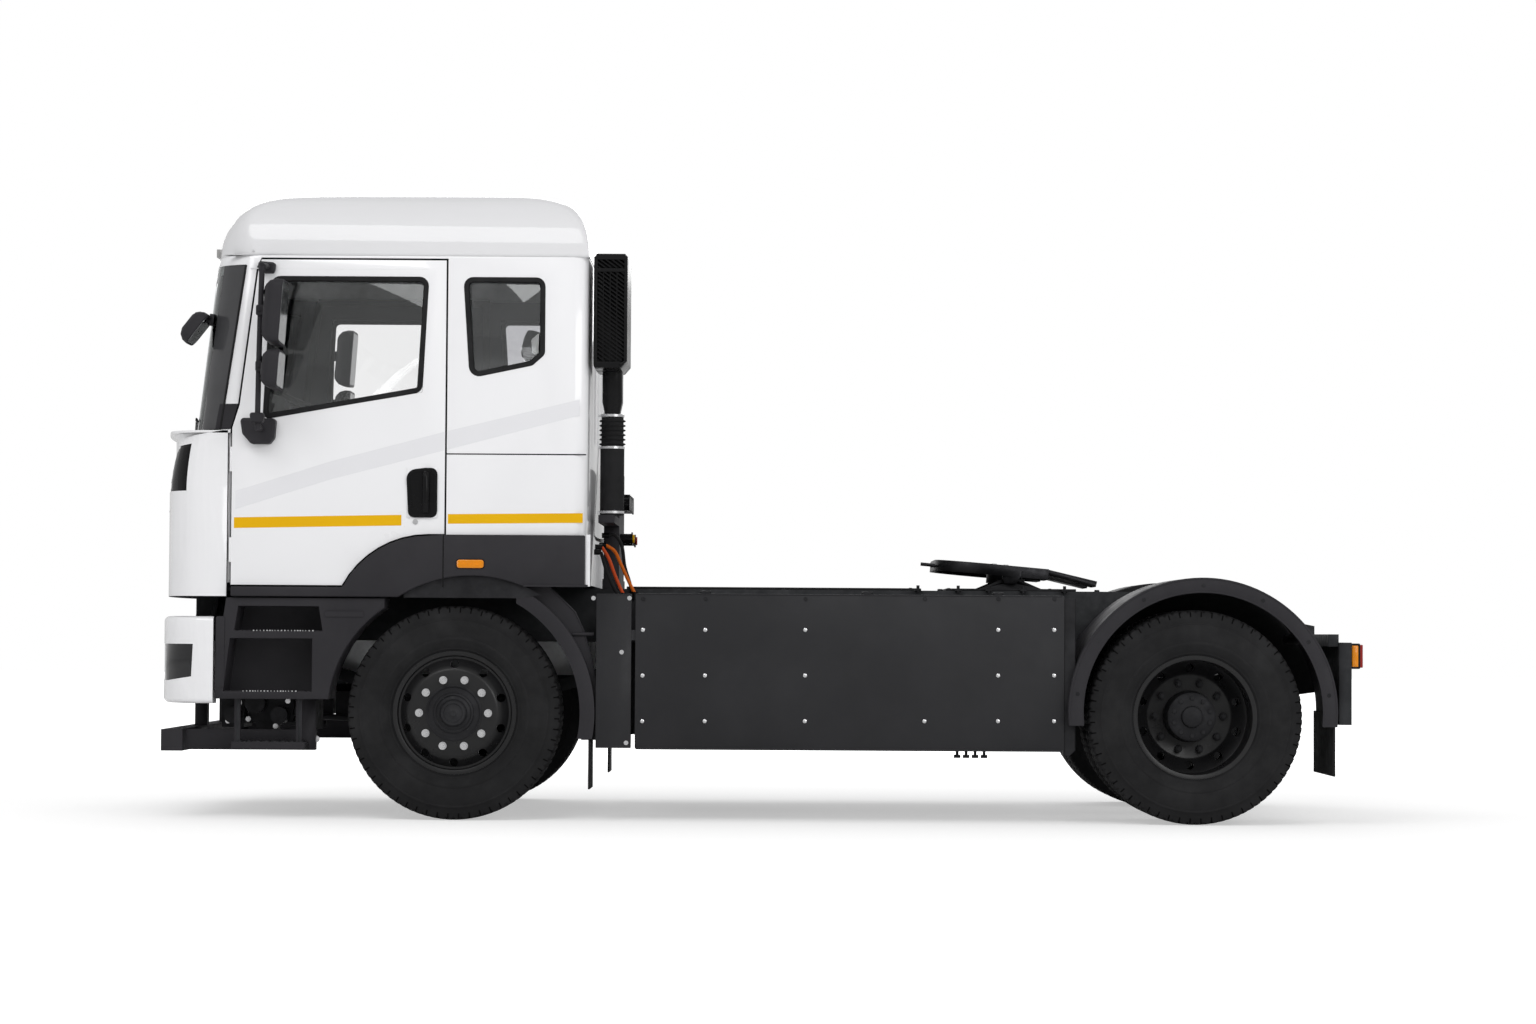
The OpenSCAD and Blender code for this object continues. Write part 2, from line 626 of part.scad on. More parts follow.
module step_unit_left() step_unit();
module step_unit_right() mirror([0, 1, 0]) step_unit();

// Fenders
module ring_sector(ro, ri, y0, y1) difference() {
  cross_bar(0, 0, 2*ro, y0, y1);
  cross_bar(0, 0, 2*ri, y0 - 1, y1 + 1);
}
module front_mudguards() color("#3f3e43") at_front() both_sides() {
  intersection() {
    translate([0, 0, wheel_r]) union() {
      ring_sector(front_fender_ro, front_fender_ro - fender_t, 900, side_y);
      ring_sector(front_fender_ro, front_fender_ri, side_y - fender_t, side_y);
    }
    block(-800, -300, 0, 1300, front_leg_z, 1100);
  }
  // Stay to the frame
  translate([0, 0, wheel_r]) rotate([0, 35, 0])
    cross_bar(-front_fender_ro + fender_t + 20, 0, 36, frame_w/2, side_y - 2);
}
module rear_mudguards() color("#3f3e43") at_rear() both_sides() {
  y1 = rear_w/2;
  y0 = y1 - rear_fender_w;
  translate([-rear_fender_back, 0, rear_fender_z]) {
    intersection() {
      union() {
        ring_sector(rear_fender_ro, rear_fender_ro - fender_t, y0, y1);
        ring_sector(rear_fender_ro, rear_fender_ri, y1 - fender_t, y1);
      }
      block(-700, 700, y0 - 5, y1 + 5, -rear_leg_drop, 700);
    }
    // Tubes to the frame
    for (a = [35, 145]) rotate([0, -a, 0])
      cross_bar(rear_fender_ro - fender_t - 25, 0, 52, frame_w/2, y1 - 2);
  }
}
module mud_flaps() color("#333333") both_sides() {
  flap_x = sqrt(pow(front_fender_ro - fender_t, 2) - pow(wheel_r - front_leg_z, 2)) - 2*seat_gap;
  at_front() block(-flap_x, -flap_x + flap_t, 905, side_y - fender_t - 2, 156, front_leg_z + 30);
  rear_x = rear_fender_back + sqrt(pow(rear_fender_ro - fender_t, 2) - pow(rear_leg_drop, 2)) - 2*seat_gap;
  at_rear() block(-rear_x, -rear_x + flap_t, rear_w/2 - rear_fender_w + 10, rear_w/2 - fender_t - 2,
                  241, rear_fender_z);
}

// Rear end
module tail_lamps() color("#763b37") at_rear() both_sides()
  block(-rear_overhang, -rear_overhang + 61, 780, 1180, 759, 889);

// Fifth wheel coupling
module coupling_base() color("#333333") translate([coupling_x, 0, 0]) {
  block(-330, 330, -frame_w/2, frame_w/2, frame_z, pedestal_z);
  both_sides() difference() {
    side_plate(300, 380) polygon(concat([[-160, pedestal_z - 1], [160, pedestal_z - 1]],
      arc(0, pivot_z, 34, 0, 180, 10)));
    cross_bar(0, pivot_z, 40 + 2*pin_gap, 290, 390);
  }
}
module coupling_plate() color("#2c2c2e") translate([coupling_x, 0, pivot_z]) rotate([0, -plate_tilt, 0]) {
  difference() {
    union() {
      translate([0, 0, plate_rise - plate_t]) linear_extrude(plate_t) plate_outline();
      translate([0, 0, plate_rise - plate_skirt]) linear_extrude(plate_skirt - plate_t + 1) difference() {
        plate_outline();
        offset_plate();
      }
      for (s = [-1, 1]) translate([-plate_behind + 6, 0, plate_rise]) rotate([0, -ramp_slope, 0])
        block(-ramp_l, 0, s > 0 ? 115 : -plate_w/2 + 60, s > 0 ? plate_w/2 - 60 : -115, -ramp_t, -1);
      // Lock
      translate([0, 0, lock_z]) cylinder(d = 200, h = plate_rise - plate_t - lock_z + 1);
      // Pivot lugs and pins
      both_sides() {
        side_plate(plate_w/2 - 52, plate_w/2 - 21) polygon([[-60, plate_rise - plate_t + 1],
          [60, plate_rise - plate_t + 1], [30, -26], [-30, -26]]);
        cross_bar(0, 0, 40, 300, plate_w/2 - 40);
      }
      // Release handle
      handle_z = plate_rise - plate_t - 8;
      block(plate_ahead - 60, plate_ahead + 20, 180, 220, handle_z - 6, plate_rise - plate_t + 1);
      cross_bar(plate_ahead + 12, handle_z, 18, 185, plate_w/2 - 40);
      long_bar(plate_w/2 - 48, handle_z, 18, plate_ahead + 4, plate_ahead + 78);
    }
    translate([0, 0, plate_rise - 200]) cylinder(d = kingpin_d + 2*kingpin_gap, h = 300);
    // Throat that leads the king pin in from behind
    translate([0, 0, plate_rise - plate_t - 5]) linear_extrude(60) polygon([[0, 27],
      [-plate_behind - ramp_l - 50, 108], [-plate_behind - ramp_l - 50, -108], [0, -27]]);
  }
}
module plate_outline() polygon(concat(
  quarter(plate_ahead - 260, plate_w/2 - 190, 260, 190, 0, 90, 8),
  [[-plate_behind, plate_w/2 - 40], [-plate_behind, 110], [-60, 60], [-60, -60], [-plate_behind, -110],
   [-plate_behind, -plate_w/2 + 40]],
  quarter(plate_ahead - 260, -plate_w/2 + 190, 260, 190, -90, 0, 8)));
module offset_plate() polygon(concat(
  quarter(plate_ahead - 260, plate_w/2 - 190, 240, 170, 0, 90, 8),
  [[-plate_behind + 20, plate_w/2 - 60], [-plate_behind + 20, 130], [-80, 80], [-80, -80],
   [-plate_behind + 20, -130], [-plate_behind + 20, -plate_w/2 + 60]],
  quarter(plate_ahead - 260, -plate_w/2 + 190, 240, 170, -90, 0, 8)));

// Pieces behind the cab
module service_column() color("#3f3e43") at_front() {
  block(-760, -cab_behind - 40, -frame_w/2, frame_w/2, frame_z, frame_z + 50);
  block(-760, -cab_behind - 40, -300, 300, frame_z + 49, 1744);
  block(-760, -cab_behind - 40, 299, 900, 1460, 1500);
}
module air_duct() color("#3f3e43") at_front() translate([-745, 830, 1500]) {
  cylinder(d = 110, h = 485 - joint_gap);
  cylinder(d = 120, h = 340);
  for (i = [0:5]) translate([0, 0, 346 + i*23]) cylinder(d = 132, h = 12);
}

module cab_hinges() color("gray") at_front() both_sides() side_plate(frame_w/2 + 27, frame_w/2 + 83)
  difference() {
    polygon(concat([[tilt_ahead + 20, floor_z], [tilt_ahead - 90, floor_z]],
      arc(tilt_ahead, tilt_z, 48, 180, 360, 12)));
    translate([tilt_ahead, tilt_z]) circle(d = tilt_pin_d + 2*pin_gap);
  }

// Cab
module cab_shell() color("#ebebed") at_front() difference() {
  union() {
    cab_lower(0, floor_z, screen_z0);
    cab_upper(0, screen_z0 - 1, seam_z);
  }
  cab_lower(wall_t, floor_z + floor_t, screen_z0 - 40);
  cab_upper(wall_t, screen_z0 - 60, seam_z + 1);
  // Seat of the front panel
  difference() {
    block(door_front + door_gap, 2000, -side_y - 1, side_y + 1, floor_z - 1, screen_z0 - 12);
    cab_lower(panel_t + seat_gap, 0, 3000);
  }
  // Doorways
  both_sides() side_plate(inner_y - 1, side_y + 1) polygon(door_outline(door_gap));
  both_sides() side_plate(inner_y - 1, side_y + 1) polygon(quarter_outline());
  // Windscreen's seat and opening
  difference() {
    screen_zone(0);
    cab_upper(screen_t, 0, 3000);
  }
  screen_zone(40);
  // Arch over the wheel
  both_sides() translate([-83, 0, 539]) cross_bar(0, 0, 1300, inner_y, side_y + 1);
}
module windscreen() color("#5d5d5f", 0.5) at_front() intersection() {
  screen_zone(0);
  difference() {
    cab_upper(0, 0, 3000);
    cab_upper(screen_t, -1, 3001);
  }
}
module quarter_glass() color("#4f4f51", 0.5) at_front() both_sides()
  side_plate(side_y - 20 - glass_t, side_y - 20) polygon(quarter_outline());
module cab_roof() color("#eeeef0") at_front() difference() {
  roof_form(0, 0);
  roof_form(roof_t, 1);
}
module roof_form(t, down) intersection() {
  side_plate(-side_y, side_y) polygon(roof_side(t));
  along(-cab_behind - 10, roof_front + 10) polygon(roof_across(t));
  cab_upper(t, seam_z - down, seam_z + roof_h + roof_rise + 10);
}
module front_panel() color("#ebebed") at_front() difference() {
  cab_lower(0, panel_z0, screen_z0 - 14);
  cab_lower(panel_t, 0, 3000);
  block(-1000, 1110, -side_y - 1, side_y + 1, 0, 3000);
  grille_zone();
  // Air slots over the bumper
  for (i = [0:2], j = [-2:1])
    block(1330, 2000, j*410 + 14, j*410 + 396, panel_z0 + 90 + i*58, panel_z0 + 126 + i*58);
}
module grille_zone() block(1314, 2000, -side_y, side_y, band_z0, 1835);
module grille() color("#313133") at_front() intersection() {
  grille_zone();
  difference() {
    cab_lower(4, 0, 3000);
    cab_lower(panel_t, -1, 3001);
    // Slots between the bars
    slot_h = (1835 - band_z0 - 30)/grille_slots - grille_bar;
    for (i = [0:grille_slots - 1], j = [-3:2])
      block(1314 + 20, 2000, j*grille_pitch + grille_bar/2, (j + 1)*grille_pitch - grille_bar/2,
            band_z0 + 20 + i*(slot_h + grille_bar), band_z0 + 20 + i*(slot_h + grille_bar) + slot_h);
  }
}
module cab_trim() color("#3f3e43") at_front() both_sides() side_plate(side_y, side_y + trim_out)
  difference() {
    polygon(concat([[1086, panel_z0], [1086, door_z - door_gap]], lower_curve(),
      [[door_back - door_gap, trim_z1], [-cab_behind + 8, trim_z1], [-cab_behind + 8, trim_z0],
       [-335, trim_z0], [248, panel_z0]]));
    translate([-83, 539]) circle(r = 650);
  }
function lower_curve() = let (r = arch_r - door_gap, a = asin((door_z - door_gap - arch_z)/r))
  arc(arch_x, arch_z, r, a, 90, 8);

// Doors
module door_panel() color("#ebebed") at_front() {
  difference() {
    side_plate(inner_y, side_y) polygon(door_outline());
    side_plate(inner_y - 1, side_y + 1) polygon(window_outline());
  }
  // Handle
  block(88, 236, side_y - 1, side_y + 6, 1470, 1712);
  block(128, 156, side_y, side_y + 30, 1495, 1690);
  // Hinge barrels in the gap before the door
  for (z = [door_z + 110, screen_z0 - 200]) {
    translate([door_front + door_hinge_d/2, side_y - door_hinge_d/2, z]) cylinder(d = door_hinge_d, h = 120);
    block(door_front - 1, door_front + door_hinge_d/2, side_y - door_hinge_d + 2, side_y - 2, z, z + 120);
  }
}
module door_window() color("#5d5d5f", 0.5) at_front()
  side_plate(side_y - 20 - glass_t, side_y - 20) polygon(window_outline());
module door_mirror() color("#3f3e43") at_front() {
  y = side_y + 190;
  translate([938, y, 1900]) cylinder(d = 28, h = 775);
  side_plate(side_y, side_y + 50) polygon([[882, 2655], [895, 2706], [965, 2712], [975, 2655]]);
  cross_bar(938, 2675, 28, side_y + 40, y + 13);
  side_plate(side_y, side_y + 66) polygon([[870, 1946], [878, 1852], [900, 1822], [992, 1822], [1034, 1870],
    [1045, 1946]]);
  cross_bar(938, 1900, 28, side_y + 60, y + 13);
  for (head = [[2290, 2602, 906], [2078, 2266, 914]]) {
    along(head.z - 92, head.z - 30) mirror_outline(y, head.x, head.y, 0);
    along(head.z - 31, head.z - 12) mirror_outline(y, head.x, head.y, 18);
    along(head.z - 13, head.z) mirror_outline(y, head.x, head.y, 46);
  }
  for (z = [2458, 2188]) block(882, 952, y - 24, y + 24, z - 26, z + 26);
}
// A mirror head seen from behind, inside its edge by g
module mirror_outline(y, z0, z1, g) let (r = 40, q = r - min(g, r - 6)) polygon(concat(
  arc(y - 45, z0 + r, q, 180, 270, 4), arc(y + 125, z0 + r, q, 270, 360, 4),
  arc(y + 125, z1 - r, q, 0, 90, 4), arc(y - 45, z1 - r, q, 90, 180, 4)));
module door_left() door_panel();
module door_left_glass() door_window();
module door_left_mirror() door_mirror();
module door_right() mirror([0, 1, 0]) door_panel();
module door_right_glass() mirror([0, 1, 0]) door_window();
module door_right_mirror() mirror([0, 1, 0]) door_mirror();

// Inside the cab
module dashboard() color("#3a3a3d") at_front() {
  intersection() {
    cab_lower(wall_t + joint_gap, floor_z + floor_t + 200, screen_z0 - 42);
    side_plate(-side_y, side_y) polygon([[1060, 1560], [1060, 1800], [1110, 1848], [2000, 1848], [2000, 1500]]);
  }
  // Column of the steering wheel
  on_column() {
    translate([0, 0, -460]) cylinder(d = 80, h = 430);
    translate([0, 0, -31]) cylinder(d = column_d, h = 33);
  }
}
module seat_frames() color("#2c2c2e") at_front() for (y = [-wheel_y, wheel_y])
  translate([0, y, 0]) block(-60, 320, -180, 180, floor_z + floor_t, seat_z - 140);
module seat_cushions() color("#3a3a3d") at_front() for (y = [-wheel_y, wheel_y]) translate([0, y, 0]) {
  block(-80, 420, -seat_w/2, seat_w/2, seat_z - 140, seat_z);
  translate([-80, 0, seat_z - 140]) rotate([0, -seat_lean, 0])
    block(-130, 0, -seat_w/2 + 10, seat_w/2 - 10, 0, 780);
  translate([-80, 0, seat_z - 140]) rotate([0, -seat_lean, 0]) {
    block(-110, -10, -140, 140, 800, 980);
    for (s = [-70, 70]) translate([-60, s, 779]) cylinder(d = 14, h = 22);
  }
}
module locker() color("#3a3a3d") at_front()
  block(-cab_behind + wall_t + 1, -330, -inner_y + 20, inner_y - 20, floor_z + floor_t, 1700);
module on_column() translate([wheel_x, -wheel_y, wheel_z]) rotate([0, -steer_lean, 0]) children();
module steering_wheel() color("#2c2c2e") at_front() on_column() {
  rotate_extrude() translate([steer_d/2 - steer_rim/2, 0]) circle(d = steer_rim);
  difference() {
    translate([0, 0, -25]) cylinder(d = 120, h = 40);
    translate([0, 0, -26]) cylinder(d = column_d + 2*pin_gap, h = 30);
  }
  for (a = [0, 120, 240]) rotate([0, 0, a]) block(40, steer_d/2 - steer_rim/2, -18, 18, -10, 6);
}
module air_intake() color("#3f3e43") at_front() {
  difference() {
    side_plate(700, 1190) polygon([[-661, 2215], [-661, 2755], [-673, 2767], [-819, 2767], [-831, 2755],
      [-831, 2240], [-798, 2203], [-673, 2203]]);
    // Slanted slots of its outer face
    for (z = [2232:31:2580]) side_plate(1160, 1191)
      polygon([[-812, z], [-682, z + 92], [-682, z + 107], [-812, z + 15]]);
    block(-812, -682, 1160, 1191, 2706, 2738);
  }
  side_plate(760, 900) polygon([[-673, 2204], [-798, 2204], [-798, 2080], [-776, 2003], [-714, 2003], [-688, 2080]]);
  block(-662, -cab_behind, 720, 1100, 2300, 2700);
  translate([-745, 830, 1985]) cylinder(d = 110, h = 30);
}
module front_mirror() color("#3f3e43") at_front() {
  difference() {
    block(1100, 1335, 1120, 1150, 2460, 2490);
    cab_upper(0, 2400, 2600);
  }
  translate([1330, 1000, 2380]) rotate([0, -35, 0]) block(0, 60, 0, 250, 0, 160);
}
module wipers() color("#2c2c2e") at_front() for (y = [-900, -280, 340]) {
  mid = y + 290;
  spindle_x = 1440 - abs(y)/10;
  translate([spindle_x, y, screen_z0]) cylinder(d = 40, h = 30);
  // Arm and blade lie along the glass
  translate([screen_x - nose_r + sqrt(nose_r*nose_r - mid*mid), mid, screen_z0])
    rotate([0, 0, asin(mid/nose_r)]) rotate([0, -screen_rake, 0]) {
      along(2, 10) polygon([[-280, 62], [285, 62], [285, 76], [-280, 76]]);
      along(8, 16) polygon([[-10, 60], [25, 60], [25, 80], [-10, 80]]);
    }
  link([spindle_x, y, screen_z0 + 22],
       [screen_x - nose_r + sqrt(nose_r*nose_r - mid*mid) + 13 - 71*tan(screen_rake), mid,
        screen_z0 + 71], 14);
}
module roof_lamps() color("#e49f40") at_front() difference() {
  for (y = [-950, -350, 350, 950]) translate([roof_front - nose_r + sqrt(nose_r*nose_r - y*y), y, 0])
    block(-60, 6, -60, 60, seam_z + 8, seam_z + 48);
  roof_form(0, 1);
}

// Wheels
module tyre() {
  seat = (rim_r + seat_gap)/cos(180/tyre_sides);
  section = [[seat, -rim_w/2 + 12.5], [rim_r + rim_flange + 1, -rim_w/2 + 6.5], [rim_r + 110, -tyre_w/2],
    [wheel_r - 14, -tread_w/2 - 4], [wheel_r, -tread_w/2 + 12], [wheel_r, tread_w/2 - 12],
    [wheel_r - 14, tread_w/2 + 4], [rim_r + 110, tyre_w/2], [rim_r + rim_flange + 1, rim_w/2 - 6.5],
    [seat, rim_w/2 - 12.5], [wheel_r - 30, tread_w/2 - 30], [wheel_r - 30, -tread_w/2 + 30]];
  n = len(section);
  polyhedron(
    points = [for (k = [0:tyre_sides - 1]) let (a = k*360/tyre_sides)
      for (p = section) [p.x*cos(a), p.x*sin(a), p.y]],
    faces = [for (k = [0:tyre_sides - 1], i = [0:n - 1]) let (m = (k + 1)%tyre_sides, j = (i + 1)%n)
      [k*n + i, k*n + j, m*n + j, m*n + i]]);
}
// A rim whose disc stands out by a distance from its middle
module rim() {
  seam = min(disc_out - 8, rim_w/2 - 5);
  disc_r = nut_pcd/2 + 45;
  difference() {
    rotate_extrude() polygon([
      [rim_r - rim_t, -rim_w/2], [rim_r + rim_flange, -rim_w/2], [rim_r + rim_flange, -rim_w/2 + 6],
      [rim_r, -rim_w/2 + 12], [rim_r, rim_w/2 - 12], [rim_r + rim_flange, rim_w/2 - 6],
      [rim_r + rim_flange, rim_w/2], [rim_r - rim_t, rim_w/2], [rim_r - rim_t, seam],
      [disc_r, disc_out + 6], [110, disc_out + 6], [110, disc_out - 6], [disc_r, disc_out - 6],
      [rim_r - rim_t, seam - 25]]);
    for (i = [0:nut_count - 1]) rotate([0, 0, (i + 0.5)*360/nut_count])
      translate([disc_r + 24, 0, 0]) cylinder(d = 44, h = 300);
  }
}
module nuts(z, h) for (i = [0:nut_count - 1]) rotate([0, 0, i*360/nut_count])
  translate([nut_pcd/2, 0, z]) cylinder(d = nut_size, h = h);
module bored(z0, z1) difference() {
  children();
  translate([0, 0, z0 - 1]) cylinder(d = spindle_d + 2*pin_gap, h = z1 - z0 + 1);
}
module front_rim() color("#28282a") {
  rim();
  nuts(disc_out, 40);
  bored(-18, 112) {
    translate([0, 0, -18]) cylinder(d = 200, h = disc_out + 46);
    translate([0, 0, -18]) cylinder(d = drum_d, h = 90);
    translate([0, 0, disc_out - 22]) cylinder(d = 390, h = 17);
  }
}
module rear_rims() color("#28282a") {
  for (s = [-1, 1]) translate([0, 0, s*twin_spacing/2]) mirror([0, 0, s > 0 ? 1 : 0]) rim();
  nuts(-20, 60);
  bored(-130, 122) {
    translate([0, 0, -130]) cylinder(d = 232, h = 270);
    translate([0, 0, -130]) cylinder(d = drum_d, h = 90);
    translate([0, 0, -24]) cylinder(d = 390, h = 25);
  }
}
module rear_tyres() color("#333333") for (s = [-1, 1]) translate([0, 0, s*twin_spacing/2]) tyre();
module front_tyre_left() color("#333333") at_front() on_axle(front_y) tyre();
module front_tyre_right() color("#333333") at_front() on_axle(-front_y) tyre();
module front_rim_left() at_front() on_axle(front_y) front_rim();
module front_rim_right() at_front() on_axle(-front_y) front_rim();
module rear_tyres_left() at_rear() on_axle(rear_y) rear_tyres();
module rear_tyres_right() at_rear() on_axle(-rear_y) rear_tyres();
module rear_rims_left() at_rear() on_axle(rear_y) rear_rims();
module rear_rims_right() at_rear() on_axle(-rear_y) rear_rims();

// Steering
module knuckle() color("dimgray") at_front() {
  // Yoke, king pin and spindle
  block(-50, 50, pin_y - 55, pin_y + 66, beam_z - 70, beam_z - 12);
  block(-50, 50, pin_y - 55, pin_y + 66, beam_top + 16, beam_top + 60);
  block(-50, 50, pin_y + 54, pin_y + 66, beam_z - 70, beam_top + 60);
  translate([0, pin_y, beam_z - 30]) cylinder(d = 45, h = beam_top - beam_z + 60);
  cross_bar(0, wheel_r, spindle_d, pin_y + 60, front_y + 110);
  // Steering arm
  side_plate(pin_y - 15, pin_y + 15) polygon([[-20, beam_z - 70], [-20, beam_z - 30], [-steer_arm + 20, rod_z + 35],
    [-steer_arm + 20, rod_z + 5]]);
}
module steering_arm() at_front() difference() {
  translate([-steer_arm, pin_y, rod_z + 5]) cylinder(d = 60, h = 30);
  translate([-steer_arm, pin_y, rod_z]) cylinder(d = 24 + 2*pin_gap, h = 50);
}
module knuckle_left() {
  knuckle();
  steering_arm();
}
module knuckle_right() mirror([0, 1, 0]) knuckle_left();
module track_rod() color("gray") at_front() {
  cross_bar(-steer_arm, rod_z - 30, 44, -pin_y + 18, pin_y - 18);
  both_sides() {
    translate([-steer_arm, pin_y, rod_z - 55]) cylinder(d = 50, h = 50);
    translate([-steer_arm, pin_y, rod_z - 30]) cylinder(d = 24, h = 75);
  }
}

frame();
cab_mounts();
front_axle_beam();
front_springs();
rear_axle();
rear_springs();
drive_motor();
propeller_shaft();
power_unit();
battery_left();
battery_right();
side_cover_left();
side_cover_right();
bumper();
headlamps();
underrun_beam();
step_unit_left();
step_unit_right();
front_mudguards();
rear_mudguards();
mud_flaps();
coupling_base();
tail_lamps();
air_duct();
service_column();
cab_hinges();
cab_shell();
cab_roof();
front_panel();
grille();
windscreen();
quarter_glass();
cab_trim();
dashboard();
seat_frames();
seat_cushions();
locker();
air_intake();
front_mirror();
wipers();
roof_lamps();
door_left();
door_left_glass();
door_left_mirror();
door_right();
door_right_glass();
door_right_mirror();
steering_wheel();
knuckle_left();
knuckle_right();
track_rod();
front_tyre_left();
front_rim_left();
front_tyre_right();
front_rim_right();
rear_tyres_left();
rear_rims_left();
rear_tyres_right();
rear_rims_right();
coupling_plate();
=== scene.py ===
"""Looks of the two-axle tractor unit: finishes, smooth skins, tyres, bolts, seams, lamps and interior."""

import math

import bmesh
import bpy
from mathutils import Matrix, Vector


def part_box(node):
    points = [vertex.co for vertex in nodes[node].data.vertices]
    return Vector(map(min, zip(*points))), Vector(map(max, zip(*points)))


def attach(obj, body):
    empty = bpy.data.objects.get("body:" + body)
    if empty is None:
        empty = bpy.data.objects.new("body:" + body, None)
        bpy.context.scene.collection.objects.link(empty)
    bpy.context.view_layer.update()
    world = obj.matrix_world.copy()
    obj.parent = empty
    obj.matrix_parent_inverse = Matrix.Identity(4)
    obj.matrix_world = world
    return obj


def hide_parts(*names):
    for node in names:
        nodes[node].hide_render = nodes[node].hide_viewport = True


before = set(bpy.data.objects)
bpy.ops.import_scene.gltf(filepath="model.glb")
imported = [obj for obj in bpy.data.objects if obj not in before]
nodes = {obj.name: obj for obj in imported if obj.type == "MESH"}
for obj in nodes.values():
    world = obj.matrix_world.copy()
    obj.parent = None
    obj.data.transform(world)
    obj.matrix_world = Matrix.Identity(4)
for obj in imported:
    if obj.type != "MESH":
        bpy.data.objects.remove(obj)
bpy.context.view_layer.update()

# Places taken from the frame, in metres
tyre_low, tyre_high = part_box("front_tyre_left")
FRONT_X = (tyre_low.x + tyre_high.x) / 2
WHEEL_R = (tyre_high.x - tyre_low.x) / 2
FRONT_Y = (tyre_low.y + tyre_high.y) / 2
rear_low, rear_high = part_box("rear_tyres_left")
REAR_X = (rear_low.x + rear_high.x) / 2
REAR_Y = (rear_low.y + rear_high.y) / 2
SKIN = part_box("cab_shell")[1].y


def ahead(distance):
    """A place that lies this many millimetres ahead of the front axle."""
    return FRONT_X + distance / 1000


# Materials
def sock(node, name, value):
    if name in node.inputs:
        node.inputs[name].default_value = value


def new_node(tree, kind, values=()):
    """Adds a shader node of this kind and sets its named inputs."""
    node = tree.nodes.new("ShaderNode" + kind)
    for name, value in dict(values).items():
        sock(node, name, value)
    return node


class Finish:
    """A node-based material that is built up step by step."""

    def __init__(self, name, color, rough, metal=0.0, coat=0.0):
        self.mat = bpy.data.materials.new(name)
        self.mat.use_nodes = True
        self.tree = self.mat.node_tree
        self.bsdf = self.tree.nodes["Principled BSDF"]
        self.coords = new_node(self.tree, "TexCoord")
        self.color = color
        sock(self.bsdf, "Base Color", (*color, 1))
        sock(self.bsdf, "Roughness", rough)
        sock(self.bsdf, "Metallic", metal)
        sock(self.bsdf, "Coat Weight", coat)
        sock(self.bsdf, "Coat Roughness", 0.04)
        self.normal = None

    def link(self, a, b):
        self.tree.links.new(a, b)

    def noise(self, scale, detail=3.0, stretch=(1, 1, 1)):
        mapping = new_node(self.tree, "Mapping", {"Scale": stretch})
        self.link(self.coords.outputs["Object"], mapping.inputs["Vector"])
        tex = new_node(self.tree, "TexNoise", {"Scale": scale, "Detail": detail})
        self.link(mapping.outputs["Vector"], tex.inputs["Vector"])
        return tex.outputs["Fac"]

    def cells(self, scale):
        tex = new_node(self.tree, "TexVoronoi", {"Scale": scale})
        self.link(self.coords.outputs["Object"], tex.inputs["Vector"])
        return tex.outputs["Distance"]

    def ramp(self, value, low, high, dark, light):
        ramp = new_node(self.tree, "MapRange",
                        {"From Min": low, "From Max": high, "To Min": dark, "To Max": light})
        self.link(value, ramp.inputs["Value"])
        return ramp.outputs["Result"]

    def vary_color(self, value, other):
        mix = new_node(self.tree, "Mix")
        mix.data_type = "RGBA"
        mix.inputs[6].default_value = (*self.color, 1)
        mix.inputs[7].default_value = (*other, 1)
        self.link(value, mix.inputs[0])
        self.link(mix.outputs[2], self.bsdf.inputs["Base Color"])
        return self

    def vary_rough(self, value):
        self.link(value, self.bsdf.inputs["Roughness"])
        return self

    def bump(self, value, strength, distance):
        bump = new_node(self.tree, "Bump", {"Strength": strength, "Distance": distance})
        self.link(value, bump.inputs["Height"])
        if self.normal:
            self.link(self.normal, bump.inputs["Normal"])
        self.normal = bump.outputs["Normal"]
        self.link(self.normal, self.bsdf.inputs["Normal"])
        return self


def srgb(r, g, b):
    """Linear colour of an sRGB colour from 0 to 255."""
    return tuple(((c / 255 + 0.055) / 1.055) ** 2.4 if c > 10 else c / 255 / 12.92 for c in (r, g, b))


def paint(name, color, rough=0.32):
    f = Finish(name, color, rough, coat=0.8)
    f.vary_rough(f.ramp(f.noise(3, 4), 0.3, 0.7, rough - 0.05, rough + 0.06))
    f.vary_color(f.ramp(f.noise(1.2, 5), 0.45, 0.8, 0, 0.35), tuple(c * 0.93 for c in color))
    f.bump(f.noise(900, 2), 0.03, 0.0002)
    return f.mat


def plastic(name, color, rough=0.6, grain=0.35, other=None, shine=0.14):
    f = Finish(name, color, rough)
    sock(f.bsdf, "Specular IOR Level", shine)
    f.vary_rough(f.ramp(f.noise(9, 5), 0.3, 0.7, rough - 0.09, rough + 0.09))
    f.vary_color(f.ramp(f.noise(2.3, 6), 0.4, 0.75, 0, 0.6), other or tuple(c * 1.35 + 0.004 for c in color))
    f.bump(f.cells(420), grain, 0.0006)
    f.bump(f.noise(1500, 2), grain * 0.5, 0.0002)
    return f.mat


def cast(name, color, rough=0.55, metal=0.3):
    f = Finish(name, color, rough, metal)
    sock(f.bsdf, "Specular IOR Level", 0.18)
    f.vary_rough(f.ramp(f.noise(30, 6), 0.3, 0.7, rough - 0.12, rough + 0.15))
    f.vary_color(f.ramp(f.noise(6, 8), 0.45, 0.8, 0, 0.7), tuple(c * 1.8 + 0.01 for c in color))
    f.bump(f.noise(260, 5), 0.25, 0.0008)
    return f.mat


